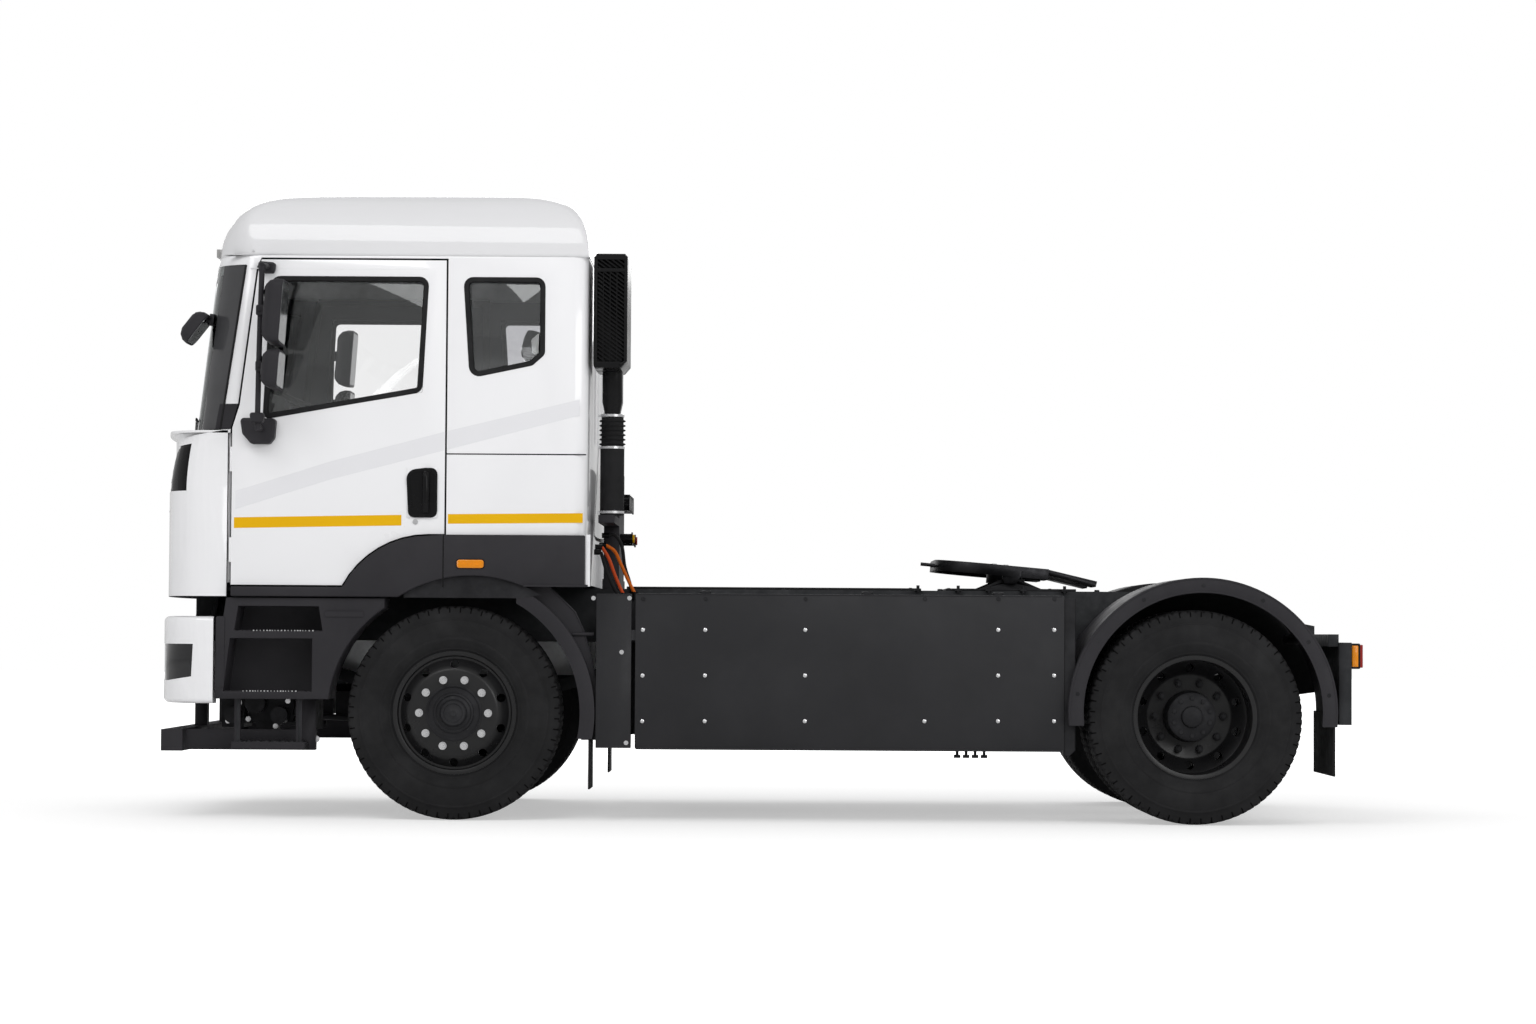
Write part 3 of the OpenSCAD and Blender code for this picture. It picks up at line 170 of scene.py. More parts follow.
def metal(name, color, rough=0.28, streak=(1, 1, 1)):
    f = Finish(name, color, rough, 1.0)
    f.vary_rough(f.ramp(f.noise(60, 4, streak), 0.3, 0.7, rough - 0.08, rough + 0.14))
    f.vary_color(f.ramp(f.noise(14, 6, streak), 0.45, 0.8, 0, 0.5), tuple(c * 0.7 for c in color))
    f.bump(f.noise(500, 3, streak), 0.08, 0.0003)
    return f.mat


def rubber(name, color, rough=0.78):
    f = Finish(name, color, rough)
    sock(f.bsdf, "Specular IOR Level", 0.16)
    f.vary_rough(f.ramp(f.noise(22, 6), 0.3, 0.7, rough - 0.1, rough + 0.1))
    f.vary_color(f.ramp(f.noise(5, 7), 0.42, 0.75, 0, 0.7), tuple(c * 1.4 + 0.006 for c in color))
    f.bump(f.noise(700, 4), 0.2, 0.0005)
    return f.mat


def lens(name, color, rough=0.12, clear=0.2):
    f = Finish(name, color, rough, coat=0.25)
    sock(f.bsdf, "Specular IOR Level", 0.2)
    sock(f.bsdf, "Transmission Weight", clear)
    f.bump(f.cells(110), 0.35, 0.0012)
    f.vary_color(f.ramp(f.noise(25, 3), 0.4, 0.7, 0, 0.3), tuple(c * 0.8 for c in color))
    return f.mat


def window(name, color, alpha):
    """Tinted sheet glass: a mix of clear tint and mirror-like reflection."""
    mat = bpy.data.materials.new(name)
    mat.use_nodes = True
    tree = mat.node_tree
    tree.nodes.clear()
    out = new_node(tree, "OutputMaterial")
    clear = new_node(tree, "BsdfTransparent", {"Color": (*color, 1)})
    gloss = new_node(tree, "BsdfGlossy", {"Roughness": 0.02, "Color": (0.9, 0.92, 0.92, 1)})
    fresnel = new_node(tree, "Fresnel", {"IOR": 1.5})
    noise = new_node(tree, "TexNoise", {"Scale": 1.5})
    add = new_node(tree, "Math")
    add.operation = "MULTIPLY_ADD"
    add.inputs[1].default_value = 1 - alpha
    add.inputs[2].default_value = alpha
    mix = new_node(tree, "MixShader")
    bump = new_node(tree, "Bump", {"Strength": 0.02})
    for source, target in ((fresnel.outputs[0], add.inputs[0]), (add.outputs[0], mix.inputs[0]),
                           (clear.outputs[0], mix.inputs[1]), (gloss.outputs[0], mix.inputs[2]),
                           (noise.outputs[0], bump.inputs["Height"]),
                           (bump.outputs[0], gloss.inputs["Normal"]),
                           (mix.outputs[0], out.inputs["Surface"])):
        tree.links.new(source, target)
    return mat


def cloth(name, color):
    f = Finish(name, color, 0.9)
    sock(f.bsdf, "Sheen Weight", 0.4)
    f.vary_color(f.ramp(f.noise(9, 6), 0.4, 0.7, 0, 0.6), tuple(c * 1.7 for c in color))
    f.bump(f.noise(900, 2, (1, 1, 0.25)), 0.5, 0.0008)
    f.bump(f.noise(900, 2, (0.25, 1, 1)), 0.5, 0.0008)
    return f.mat


WHITE = paint("cab_white", srgb(238, 238, 240))
# The roof has the cab's white paint; this darker copy of it is painted shade on the roof.
ROOF_WHITE_SHADED = paint("roof_white_painted_shade", srgb(219, 219, 221), 0.5)
BAND = paint("band_grey", srgb(227, 227, 230), 0.4)
YELLOW = plastic("stripe_yellow", srgb(228, 176, 6), 0.5, 0.0, srgb(222, 168, 4))
TRIM = plastic("dark_trim_grain", srgb(44, 43, 46), 0.55)
PANEL = plastic("black_satin", srgb(42, 42, 44), 0.45, 0.12)
BLACK = plastic("black_gloss", srgb(16, 16, 17), 0.25, 0.02)
CHASSIS = cast("chassis_grey", srgb(42, 43, 45))
DARK_CAST = cast("cast_dark", srgb(34, 34, 36), 0.55)
GREASED = cast("greased_plate", srgb(38, 38, 40), 0.38, 0.7)
ALLOY = metal("cast_alloy", (0.55, 0.56, 0.57), 0.45)
STEEL = metal("bright_steel", (0.62, 0.62, 0.63), 0.25)
MIRROR = metal("mirror_face", (0.22, 0.225, 0.23), 0.06)
TYRE = rubber("tyre_black", srgb(29, 29, 30))
RUBBER = rubber("soft_rubber", srgb(30, 30, 31))
RIM = plastic("rim_dark", srgb(24, 24, 25), 0.34, 0.04, srgb(29, 29, 30), 0.3)
GLASS = window("side_glass", (0.992, 0.992, 0.993), 0.015)
QUARTER = window("quarter_glass_tint", (0.86, 0.86, 0.87), 0.04)
# The windscreen's border print is black; the grey here is painted reflection of the bright surroundings on the glass.
GLASS_BORDER_REFLECTION = plastic("glass_border_painted_reflection", srgb(60, 60, 62), 0.14, 0.0, srgb(84, 84, 86), 0.5)
LAMP_DARK = plastic("lamp_dark", srgb(24, 24, 26), 0.12, 0.0, srgb(34, 34, 36), 0.5)
SCREEN = window("screen_glass", (0.72, 0.76, 0.75), 0.06)
LAMP = window("lamp_glass", (0.92, 0.93, 0.94), 0.15)
RED = lens("lamp_red_lens", srgb(150, 30, 24))
AMBER = lens("lamp_amber_lens", srgb(250, 150, 0))
MARKER = lens("marker_clear_lens", srgb(176, 175, 174))
CABLE_ORANGE = plastic("cable_orange", srgb(214, 104, 22), 0.5, 0.05)
INTERIOR = plastic("interior_grey", srgb(84, 84, 88), 0.7)
HEADLINER = cloth("headliner_pale", srgb(186, 186, 188))
SEAT = cloth("seat_cloth_dark", srgb(60, 60, 64))
CABLE_RED = plastic("cable_red_orange", srgb(206, 78, 34), 0.5, 0.05)
# Dark finish for the cab's downward faces, also laid as painted shade on the plate in the front wheel arch.
UNDERSIDE_AND_ARCH_SHADE = cast("underside_dark_and_arch_shade", srgb(34, 34, 36), 0.7)
# Grey lining inside the cab, also used as painted shade on the doorway's reveals.
LINING_AND_GAP_SHADE = plastic("lining_and_gap_shade", srgb(70, 70, 74), 0.75)
# Near-black marks in the tyres' shoulder notches: painted shade, as the rubber there is the tyre's own colour.
NOTCH_SHADE = plastic("notch_painted_shade", srgb(9, 9, 9), 0.8, 0.0, srgb(12, 12, 12), 0.02)

NODE_FINISH = (
    (CHASSIS, "frame cab_mounts battery_left battery_right cab_hinges"),
    (DARK_CAST, "front_axle_beam front_springs rear_axle rear_springs propeller_shaft coupling_base"),
    (DARK_CAST, "knuckle_left knuckle_right track_rod"),
    (ALLOY, "drive_motor power_unit"),
    (PANEL, "side_cover_left side_cover_right"),
    (WHITE, "bumper cab_shell front_panel door_left door_right"),
    (ROOF_WHITE_SHADED, "cab_roof"),
    (LAMP_DARK, "headlamps"),
    (TRIM, "underrun_beam step_unit_left step_unit_right front_mudguards rear_mudguards service_column"),
    (TRIM, "cab_trim air_intake front_mirror door_left_mirror door_right_mirror"),
    (RUBBER, "mud_flaps air_duct"),
    (RED, "tail_lamps"),
    (MARKER, "roof_lamps"),
    (BLACK, "grille seat_frames wipers steering_wheel"),
    (SCREEN, "windscreen"),
    (QUARTER, "quarter_glass"),
    (GLASS, "door_left_glass door_right_glass"),
    (INTERIOR, "dashboard locker"),
    (SEAT, "seat_cushions"),
    (TYRE, "front_tyre_left front_tyre_right rear_tyres_left rear_tyres_right"),
    (RIM, "front_rim_left front_rim_right rear_rims_left rear_rims_right"),
    (GREASED, "coupling_plate"),
)
# Radius of the rounded edges of the CAD pieces that stay in sight, where it isn't the usual one
SOFT_EDGE = {"step_unit_left": 0.008, "step_unit_right": 0.008, "cab_trim": 0.006, "side_cover_left": 0.006,
             "side_cover_right": 0.006, "rear_mudguards": 0.003, "front_mudguards": 0.003}
USUAL_EDGE = 0.002
WELD_REACH = 0.00005


def weld(obj, reach=WELD_REACH):
    mod = obj.modifiers.new("weld", "WELD")
    mod.merge_threshold = reach


def edge_round(obj, width=USUAL_EDGE, segments=2, angle=34):
    mod = obj.modifiers.new("bevel", "BEVEL")
    mod.width = width
    mod.segments = segments
    mod.limit_method = "ANGLE"
    mod.angle_limit = math.radians(angle)
    mod.harden_normals = True
    return obj


def smooth_faces(data, smooth=True):
    for face in data.polygons:
        face.use_smooth = smooth


def finish_node(name, material):
    """Gives a CAD node its finish, smooth shading and rounded edges."""
    obj = nodes[name]
    obj.data.materials.clear()
    obj.data.materials.append(material)
    weld(obj)
    edge_round(obj, SOFT_EDGE.get(name, USUAL_EDGE))
    smooth_faces(obj.data)


for node_material, node_names in NODE_FINISH:
    for node_name in node_names.split():
        finish_node(node_name, node_material)


# Making shapes
def link_object(name, data):
    obj = bpy.data.objects.new(name, data)
    bpy.context.scene.collection.objects.link(obj)
    return obj


def mesh_object(name, verts, faces, material, body, smooth=True, stands_for=()):
    """A mesh piece that rides on a body and may stand for CAD nodes."""
    data = bpy.data.meshes.new(name)
    data.from_pydata([tuple(v) for v in verts], [], faces)
    data.validate()
    data.update()
    obj = link_object(name, data)
    for item in material if isinstance(material, (list, tuple)) else [material]:
        data.materials.append(item)
    smooth_faces(data, smooth)
    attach(obj, body)
    if stands_for:
        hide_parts(*stands_for)
    return obj


def ring_faces(rings, count, joined=False, closed=True, flip=False):
    """Faces between rings of points; joined ties the last ring to the first, closed ties each ring's ends."""
    faces = []
    for k in range(rings if joined else rings - 1):
        m = (k + 1) % rings
        for i in range(count if closed else count - 1):
            j = (i + 1) % count
            a, b, c, d = k * count + i, k * count + j, m * count + j, m * count + i
            faces.append((a, d, c, b) if flip else (a, b, c, d))
    return faces


def round_points(radius, count):
    """Points of a full circle round the origin."""
    return [(radius * math.cos(2 * math.pi * i / count), radius * math.sin(2 * math.pi * i / count))
            for i in range(count)]


class Shape:
    """Collects vertices and faces of one piece that is joined from many simple forms."""

    def __init__(self):
        self.verts = []
        self.faces = []
        self.slots = []

    def add(self, verts, faces, slot=0):
        base = len(self.verts)
        self.verts += [Vector(v) for v in verts]
        self.faces += [tuple(i + base for i in f) for f in faces]
        self.slots += [slot] * len(faces)
        return self

    def box(self, low, high, slot=0, turn=None):
        x0, y0, z0 = low
        x1, y1, z1 = high
        v = [Vector((x, y, z)) for x in (x0, x1) for y in (y0, y1) for z in (z0, z1)]
        if turn:
            v = [turn @ p for p in v]
        f = [(0, 1, 3, 2), (4, 6, 7, 5), (0, 4, 5, 1), (2, 3, 7, 6), (0, 2, 6, 4), (1, 5, 7, 3)]
        return self.add(v, f, slot)

    def slab(self, outline, y0, y1, slot=0):
        """A plate across Y whose outline holds (x, z) points."""
        n = len(outline)
        v = [(x, y0, z) for x, z in outline] + [(x, y1, z) for x, z in outline]
        f = [tuple(range(n)), tuple(range(2 * n - 1, n - 1, -1))]
        f += [(i, i + n, (i + 1) % n + n, (i + 1) % n) for i in range(n)]
        return self.add(v, f, slot)

    def band(self, outer, inner, y0, y1, slot=0):
        """A frame across Y between two outlines with as many (x, z) points each."""
        n = len(outer)
        v = [(x, y, z) for y in (y0, y1) for ring in (outer, inner) for x, z in ring]
        f = []
        for i in range(n):
            j = (i + 1) % n
            f.append((i, j, n + j, n + i))
            f.append((2 * n + i, 3 * n + i, 3 * n + j, 2 * n + j))
            f.append((i, 2 * n + i, 2 * n + j, j))
            f.append((n + i, n + j, 3 * n + j, 3 * n + i))
        return self.add(v, f, slot)

    def lathe(self, profile, place, steps=48, slot=0, closed=True):
        """A ring turned about local Z; profile holds (radius, z) points, and place is a matrix."""
        v = []
        for s in range(steps):
            a = 2 * math.pi * s / steps
            v += [place @ Vector((r * math.cos(a), r * math.sin(a), z)) for r, z in profile]
        return self.add(v, ring_faces(steps, len(profile), True, closed, flip=True), slot)

    def rod(self, a, b, radius, sides=12, slot=0):
        """A round bar between two points."""
        a, b = Vector(a), Vector(b)
        place = Matrix.Translation(a) @ (b - a).to_track_quat("Z", "Y").to_matrix().to_4x4()
        length = (b - a).length
        v = [place @ Vector((x, y, z)) for z in (0, length) for x, y in round_points(radius, sides)]
        f = [tuple(range(sides - 1, -1, -1)), tuple(range(sides, 2 * sides))]
        f += [(i, (i + 1) % sides, (i + 1) % sides + sides, i + sides) for i in range(sides)]
        return self.add(v, f, slot)

    def pipe(self, points, radius, sides=10, slot=0):
        """A round tube along a list of points."""
        points = [Vector(p) for p in points]
        rings = []
        side = None
        for i, p in enumerate(points):
            along = (points[min(i + 1, len(points) - 1)] - points[max(i - 1, 0)]).normalized()
            if side is None:
                side = along.orthogonal().normalized()
            side = (side - along * side.dot(along)).normalized()
            other = along.cross(side)
            rings.append([p + radius * (math.cos(2 * math.pi * k / sides) * side
                                        + math.sin(2 * math.pi * k / sides) * other) for k in range(sides)])
        v = [q for ring in rings for q in ring]
        f = [tuple(range(sides - 1, -1, -1)), tuple(range(len(v) - sides, len(v)))]
        return self.add(v, f + ring_faces(len(rings), sides), slot)

    def bolt(self, at, axis, across, head, washer=0.0, slot=0):
        """A hexagon head on a round washer, standing out along an axis."""
        at, axis = Vector(at), Vector(axis).normalized()
        if washer:
            self.rod(at, at + axis * head * 0.25, washer / 2, 20, slot)
        self.rod(at, at + axis * head, across / 2 / math.cos(math.pi / 6), 6, slot)
        return self

    def mirrored(self):
        """The same shape on the other side of the vehicle."""
        twin = Shape()
        twin.verts = [Vector((v.x, -v.y, v.z)) for v in self.verts]
        twin.faces = [tuple(reversed(f)) for f in self.faces]
        twin.slots = list(self.slots)
        return twin

    def object(self, name, material, body, smooth=True, stands_for=(), edge=0.0):
        obj = mesh_object(name, self.verts, self.faces, material, body, smooth, stands_for)
        if len(obj.data.polygons) == len(self.slots):
            for face, slot in zip(obj.data.polygons, self.slots):
                face.material_index = slot
        if edge:
            edge_round(obj, edge)
        elif smooth:
            mark_sharp(obj)
        return obj


def mark_sharp(obj, angle=35):
    """Smooth shading that stays crisp at edges over this angle, in degrees."""
    bm = bmesh.new()
    bm.from_mesh(obj.data)
    for edge in bm.edges:
        edge.smooth = edge.calc_face_angle(math.pi) < math.radians(angle)
    bm.normal_update()
    bm.to_mesh(obj.data)
    bm.free()


def rounded(outline, radius, steps=5):
    """An outline with its corners rounded; radius is one number or one for each corner."""
    n = len(outline)
    radii = radius if isinstance(radius, (list, tuple)) else [radius] * n
    points = []
    for i in range(n):
        p, a, b = Vector(outline[i]), Vector(outline[i - 1]), Vector(outline[(i + 1) % n])
        da, db = (a - p).normalized(), (b - p).normalized()
        half = da.angle(db) / 2
        cut = min(radii[i] / math.tan(half), (a - p).length * 0.49, (b - p).length * 0.49)
        r = cut * math.tan(half)
        centre = p + (da + db).normalized() * math.hypot(cut, r)
        start, end = p + da * cut - centre, p + db * cut - centre
        for k in range(steps + 1):
            t = k / steps
            d = start.lerp(end, t).normalized() if (start - end).length > 1e-9 else start.normalized()
            angle = start.angle(end)
            if angle > 1e-6:
                d = (start * math.sin((1 - t) * angle) + end * math.sin(t * angle)).normalized()
            points.append(tuple(centre + d * r))
    return points


def inset(outline, distance):
    """An outline moved inward by a distance, for outlines that turn gently."""
    n = len(outline)
    area = sum(a[0] * b[1] - b[0] * a[1] for a, b in zip(outline, outline[1:] + outline[:1]))
    sign = 1 if area > 0 else -1
    moved = []
    for i in range(n):
        p, a, b = Vector(outline[i]), Vector(outline[i - 1]), Vector(outline[(i + 1) % n])
        ta, tb = (p - a).normalized(), (b - p).normalized()
        na, nb = Vector((-ta.y, ta.x)) * sign, Vector((-tb.y, tb.x)) * sign
        mid = (na + nb).normalized()
        moved.append(tuple(p + mid * distance / max(mid.dot(na), 0.5)))
    return moved


def side_points(points):
    """Points given in millimetres ahead of the front axle and above the ground, in metres."""
    return [(ahead(x), z / 1000) for x, z in points]


DOORS = ("door_left", "door_right")


def on_both(shape, name, material, bodies, **options):
    """Makes a shape of the left side and its mirror image on the right, on one body or on one each."""
    left_body, right_body = (bodies, bodies) if isinstance(bodies, str) else bodies
    left = shape.object(name + "_left", material, left_body, **options)
    right = shape.mirrored().object(name + "_right", material, right_body, **options)
    return left, right


def apply_modifiers(obj):
    """Turns the modified form into the object's own mesh."""
    bpy.context.view_layer.update()
    graph = bpy.context.evaluated_depsgraph_get()
    data = bpy.data.meshes.new_from_object(obj.evaluated_get(graph))
    obj.modifiers.clear()
    old, obj.data = obj.data, data
    bpy.data.meshes.remove(old)


# Wheels
def axle_place(x, y):
    """Local Z points outward along the wheel's axis."""
    turn = Matrix.Rotation(math.radians(-90 if y > 0 else 90), 4, "X")
    return Matrix.Translation((x, y, WHEEL_R)) @ turn


# Half the width of the tread and of the tyre, the rim's radius, and half the distance of twin tyres
TREAD_HALF = 0.118
TYRE_HALF = 0.1472
RIM_R = 0.2857
TWIN_HALF = 0.1625
TYRE_BLOCKS = 84


def tyre_profile():
    """Half of the tyre's outer line, from the bead outward to the middle of the tread, as (radius, z)."""
    above_bead = [(0, 0.100), (0.006, 0.108), (0.018, 0.1115), (0.026, 0.1215), (0.031, 0.1225),
                  (0.034, 0.1255), (0.05, 0.1345), (0.066, 0.1405), (0.070, 0.1425), (0.078, 0.1428),
                  (0.082, 0.1412), (0.10, 0.1458), (0.125, TYRE_HALF), (0.15, 0.1466), (0.165, 0.1446), (0.168, 0.1462),
                  (0.174, 0.1460), (0.177, 0.1428), (0.195, 0.1375), (0.212, 0.1315)]
    below_tread = [(0.0165, 0.1275), (0.009, 0.1255), (0.0035, TREAD_HALF), (0.0022, 0.104), (0.0018, 0.0885),
                   (0.016, 0.0855), (0.016, 0.0775), (0.0012, 0.0745), (0.0006, 0.052), (0.0004, 0.0335),
                   (0.016, 0.0305), (0.016, 0.0225), (0.0002, 0.0195), (0.0001, 0.0)]
    return [(RIM_R + r, z) for r, z in above_bead] + [(WHEEL_R - r, z) for r, z in below_tread]


def make_tyre(shape, place, blocks=TYRE_BLOCKS, steps=4):
    """A tyre with ribs, sipes across them and notches along its shoulders."""
    half = tyre_profile()
    line = [(r, -z) for r, z in half] + [(r, z) for r, z in reversed(half[:-1])]
    line += [(RIM_R + 0.002, 0.07), (RIM_R + 0.002, -0.07)]
    total = blocks * steps
    verts = []
    for s in range(total):
        for r, z in line:
            in_tread = r > WHEEL_R - 0.02 and abs(z) < 0.1
            wave = 0.0035 * math.sin(2 * math.pi * s / steps / 2) if in_tread else 0
            cut = 0.0
            on_step = s % steps == 0
            if r > WHEEL_R - 0.012 and abs(z) > 0.1 and on_step:
                cut = 0.009
            elif r > WHEEL_R - 0.0016 and on_step:
                cut = 0.004
            a = 2 * math.pi * (s + (0.7 if abs(z) < 0.03 else 0.0)) / total
            verts.append(place @ Vector(((r - cut) * math.cos(a), (r - cut) * math.sin(a), z + wave)))
    shape.add(verts, ring_faces(total, len(line), True, flip=True))


def rim_profile(out):
    """A rim with its well, its flanges and a disc whose face stands out this far, as (radius, z)."""
    well = [(0.0148, 0.1145), (0.0150, 0.1125), (0.0135, 0.1092), (0.004, 0.1065), (-0.0006, 0.100),
            (-0.0006, 0.060), (-0.001, -0.095), (0.004, -0.1065), (0.0135, -0.1092), (0.0150, -0.1125),
            (0.0148, -0.1145), (0.008, -0.1145), (-0.006, -0.1105), (-0.010, -0.100), (-0.0098, 0.052),
            (-0.0100, 0.074), (-0.020, 0.082)]
    disc = [(0.232, -0.036), (0.214, -0.012), (0.203, -0.006), (0.110, -0.006), (0.110, 0.0055),
            (0.206, 0.0055), (0.219, 0.001), (0.240, -0.026)]
    flange = [(-0.022, 0.0965), (-0.012, 0.098), (-0.0098, 0.104), (-0.006, 0.1105), (0.006, 0.1145)]
    return ([(RIM_R + r, z) for r, z in well] + [(r, out + z) for r, z in disc]
            + [(RIM_R + r, z) for r, z in flange])


NUTS = 10
NUT_CIRCLE = 0.1675
HOLE_CIRCLE = 0.2395
HOLE_R = 0.0205
DISC_OUT = 0.1565


def hand_holes(obj, place, out):
    """Cuts the round holes between the rim's disc and its barrel."""
    cutter = Shape()
    for i in range(NUTS):
        a = 2 * math.pi * (i + 0.5) / NUTS
        x, y = HOLE_CIRCLE * math.cos(a), HOLE_CIRCLE * math.sin(a)
        cutter.rod(place @ Vector((x, y, out - 0.14)), place @ Vector((x, y, out + 0.05)), HOLE_R, 20)
    tool = cutter.object("hole_cutter", BLACK, "chassis")
    mod = obj.modifiers.new("holes", "BOOLEAN")
    mod.object = tool
    mod.solver = "EXACT"
    apply_modifiers(obj)
    bpy.data.objects.remove(tool)


def make_rim(name, place, body):
    disc = Shape()
    disc.lathe(rim_profile(DISC_OUT), place, 96)
    rim = disc.object(name, RIM, body)
    hand_holes(rim, place, DISC_OUT)
    mark_sharp(rim)


def wheel_nuts(shape, place, base, slot, height=0.03):
    """Nuts on their washers, with the ends of their studs."""
    axis = (place.to_3x3() @ Vector((0, 0, 1))).normalized()
    for x, y in round_points(NUT_CIRCLE, NUTS):
        at = place @ Vector((x, y, base))
        shape.rod(at, at + axis * 0.005, 0.0195, 20, slot)
        shape.rod(at, at + axis * height, 0.0165, 6, slot)
        shape.rod(at + axis * height, at + axis * (height + 0.012), 0.0095, 12, slot)


FRONT_HUB = [(0.0001, 0.194), (0.014, 0.196), (0.020, 0.192), (0.044, 0.192), (0.047, 0.196), (0.058, 0.195),
             (0.064, 0.189), (0.068, 0.176), (0.082, 0.170), (0.088, 0.174), (0.096, 0.172), (0.099, 0.164),
             (0.122, 0.1625), (0.130, 0.168), (0.137, 0.166), (0.139, 0.150), (0.100, 0.135), (0.050, 0.130),
             (0.050, -0.018), (0.100, -0.018), (0.210, -0.018), (0.210, 0.072), (0.195, 0.080),
             (0.195, 0.1505), (0.0001, 0.1505)]
REAR_HUB = [(0.0001, 0.178), (0.040, 0.178), (0.050, 0.172), (0.054, 0.150), (0.105, 0.146), (0.118, 0.138),
            (0.126, 0.05), (0.128, 0.012), (0.050, 0.005), (0.050, -0.13), (0.210, -0.13), (0.210, -0.045),
            (0.195, -0.03), (0.195, -0.0005), (0.0001, -0.0005)]


def front_wheel(side, word):
    place = axle_place(FRONT_X, side * FRONT_Y)
    body = "wheel_front_" + word
    tyre = Shape()
    make_tyre(tyre, place)
    tyre.object("tyre_front_" + word, TYRE, body, stands_for=("front_tyre_" + word,))
    make_rim("rim_front_" + word, place, body)
    hub = Shape()
    hub.lathe(FRONT_HUB, place, 64, 0, closed=False)
    wheel_nuts(hub, place, DISC_OUT + 0.006, 1)
    hub.object("hub_front_" + word, (DARK_CAST, STEEL), body, stands_for=("front_rim_" + word,))


def rear_wheel(side, word):
    middle = axle_place(REAR_X, side * REAR_Y)
    body = "wheels_rear_" + word
    inner, outer = (middle @ Matrix.Translation((0, 0, s * TWIN_HALF)) for s in (-1, 1))
    tyres = Shape()
    make_tyre(tyres, inner)
    make_tyre(tyres, outer)
    tyres.object("tyres_rear_" + word, TYRE, body, stands_for=("rear_tyres_" + word,))
    make_rim(f"rim_rear_{word}_inner", inner, body)
    make_rim(f"rim_rear_{word}_outer", outer @ Matrix.Rotation(math.pi, 4, "X"), body)
    hub = Shape()
    hub.lathe(REAR_HUB, middle, 64, 0, closed=False)
    hub_bolts = 10
    for i in range(hub_bolts):
        a = 2 * math.pi * (i + 0.5) / hub_bolts
        at = middle @ Vector((0.092 * math.cos(a), 0.092 * math.sin(a), 0.146))
        hub.bolt(at, middle.to_3x3() @ Vector((0, 0, 1)), 0.017, 0.010, 0.024, 0)
    wheel_nuts(hub, middle, 0.0122, 0, 0.032)
    hub.object("hub_rear_" + word, DARK_CAST, body, stands_for=("rear_rims_" + word,))


for wheel_side, wheel_word in ((1, "left"), (-1, "right")):
    front_wheel(wheel_side, wheel_word)
    rear_wheel(wheel_side, wheel_word)


# The cab's skin, in millimetres ahead of the front axle, to the left and up
NOSE_R, CORNER_R, HALF_W = 5000.0, 220.0, 1200.0
FACE_X, SCREEN_X = 1522.0, 1390.0
SCREEN_Z0, SEAM_Z = 1890.0, 2745.0
RAKE = math.tan(math.radians(6.7))
CORNER_BACK = NOSE_R - math.sqrt((NOSE_R - CORNER_R) ** 2 - (HALF_W - CORNER_R) ** 2)


def nose(z, upper):
    return SCREEN_X - (z - SCREEN_Z0) * RAKE if upper else FACE_X


def skin_x(y, z, out=0.0, upper=True):
    """How far ahead the skin lies at this place across."""
    front, y = nose(z, upper), abs(y)
    x = front - NOSE_R + math.sqrt((NOSE_R + out) ** 2 - y * y)
    side = y - (HALF_W - CORNER_R)
    if side > 0 and (CORNER_R + out) ** 2 > side * side:
        x = min(x, front - CORNER_BACK + math.sqrt((CORNER_R + out) ** 2 - side * side))
    return x


def skin_y(x, z, out=0.0, upper=True):
    """How far to the left the skin lies at this place along the side."""
    ahead_of_corner = x - (nose(z, upper) - CORNER_BACK)
    if ahead_of_corner <= 0:
        return HALF_W + out
    return HALF_W - CORNER_R + math.sqrt(max((CORNER_R + out) ** 2 - ahead_of_corner ** 2, 0))


def metres(x, y, z):
    return Vector((ahead(x), y / 1000, z / 1000))


def add_plate(shape, verts, rows, steps, slot):
    """Faces of a thin plate; each of its rows holds an outer and an inner line of points."""
    faces = []
    n = steps + 1
    row = 2 * n
    for r in range(rows):
        for i in range(steps):
            a, b = r * row + i, (r + 1) * row + i
            faces += [(a, a + 1, b + 1, b), (a + n, b + n, b + n + 1, a + n + 1)]
        a, b = r * row, (r + 1) * row
        faces += [(a, b, b + n, a + n), (a + steps, a + steps + n, b + steps + n, b + steps)]
    top = rows * row
    for i in range(steps):
        faces += [(i, i + n, i + n + 1, i + 1), (top + i, top + i + 1, top + i + n + 1, top + i + n)]
    return shape.add(verts, faces, slot)


def skin_strip(shape, z0, z1, y0, y1, out=1.0, thick=2.0, upper=True, steps=24, slot=0):
    """A raised strip on the cab's front between two places across."""
    verts = []
    for z in (z0, z1):
        for o in (out, out - thick):
            for i in range(steps + 1):
                y = y0 + (y1 - y0) * i / steps
                verts.append(metres(skin_x(y, z, o, upper), y, z))
    return add_plate(shape, verts, 1, steps, slot)


def side_patch(shape, rows, out=1.0, thick=2.0, upper=True, steps=10, slot=0):
    """A raised patch round the left front corner; rows hold (z, rear x, front x)."""
    verts = []
    for z, x0, x1 in rows:
        for o in (out, out - thick):
            for i in range(steps + 1):
                x = x0 + (x1 - x0) * i / steps
                verts.append(metres(x, skin_y(x, z, o, upper), z))
    return add_plate(shape, verts, len(rows) - 1, steps, slot)


# Windows
DOOR_WINDOW = side_points([(943, 1942), (908, 2645), (136, 2645), (168, 2082)])
QUARTER_WINDOW = side_points([(-29, 2645), (-63, 2149), (-369, 2214), (-430, 2268), (-430, 2645)])


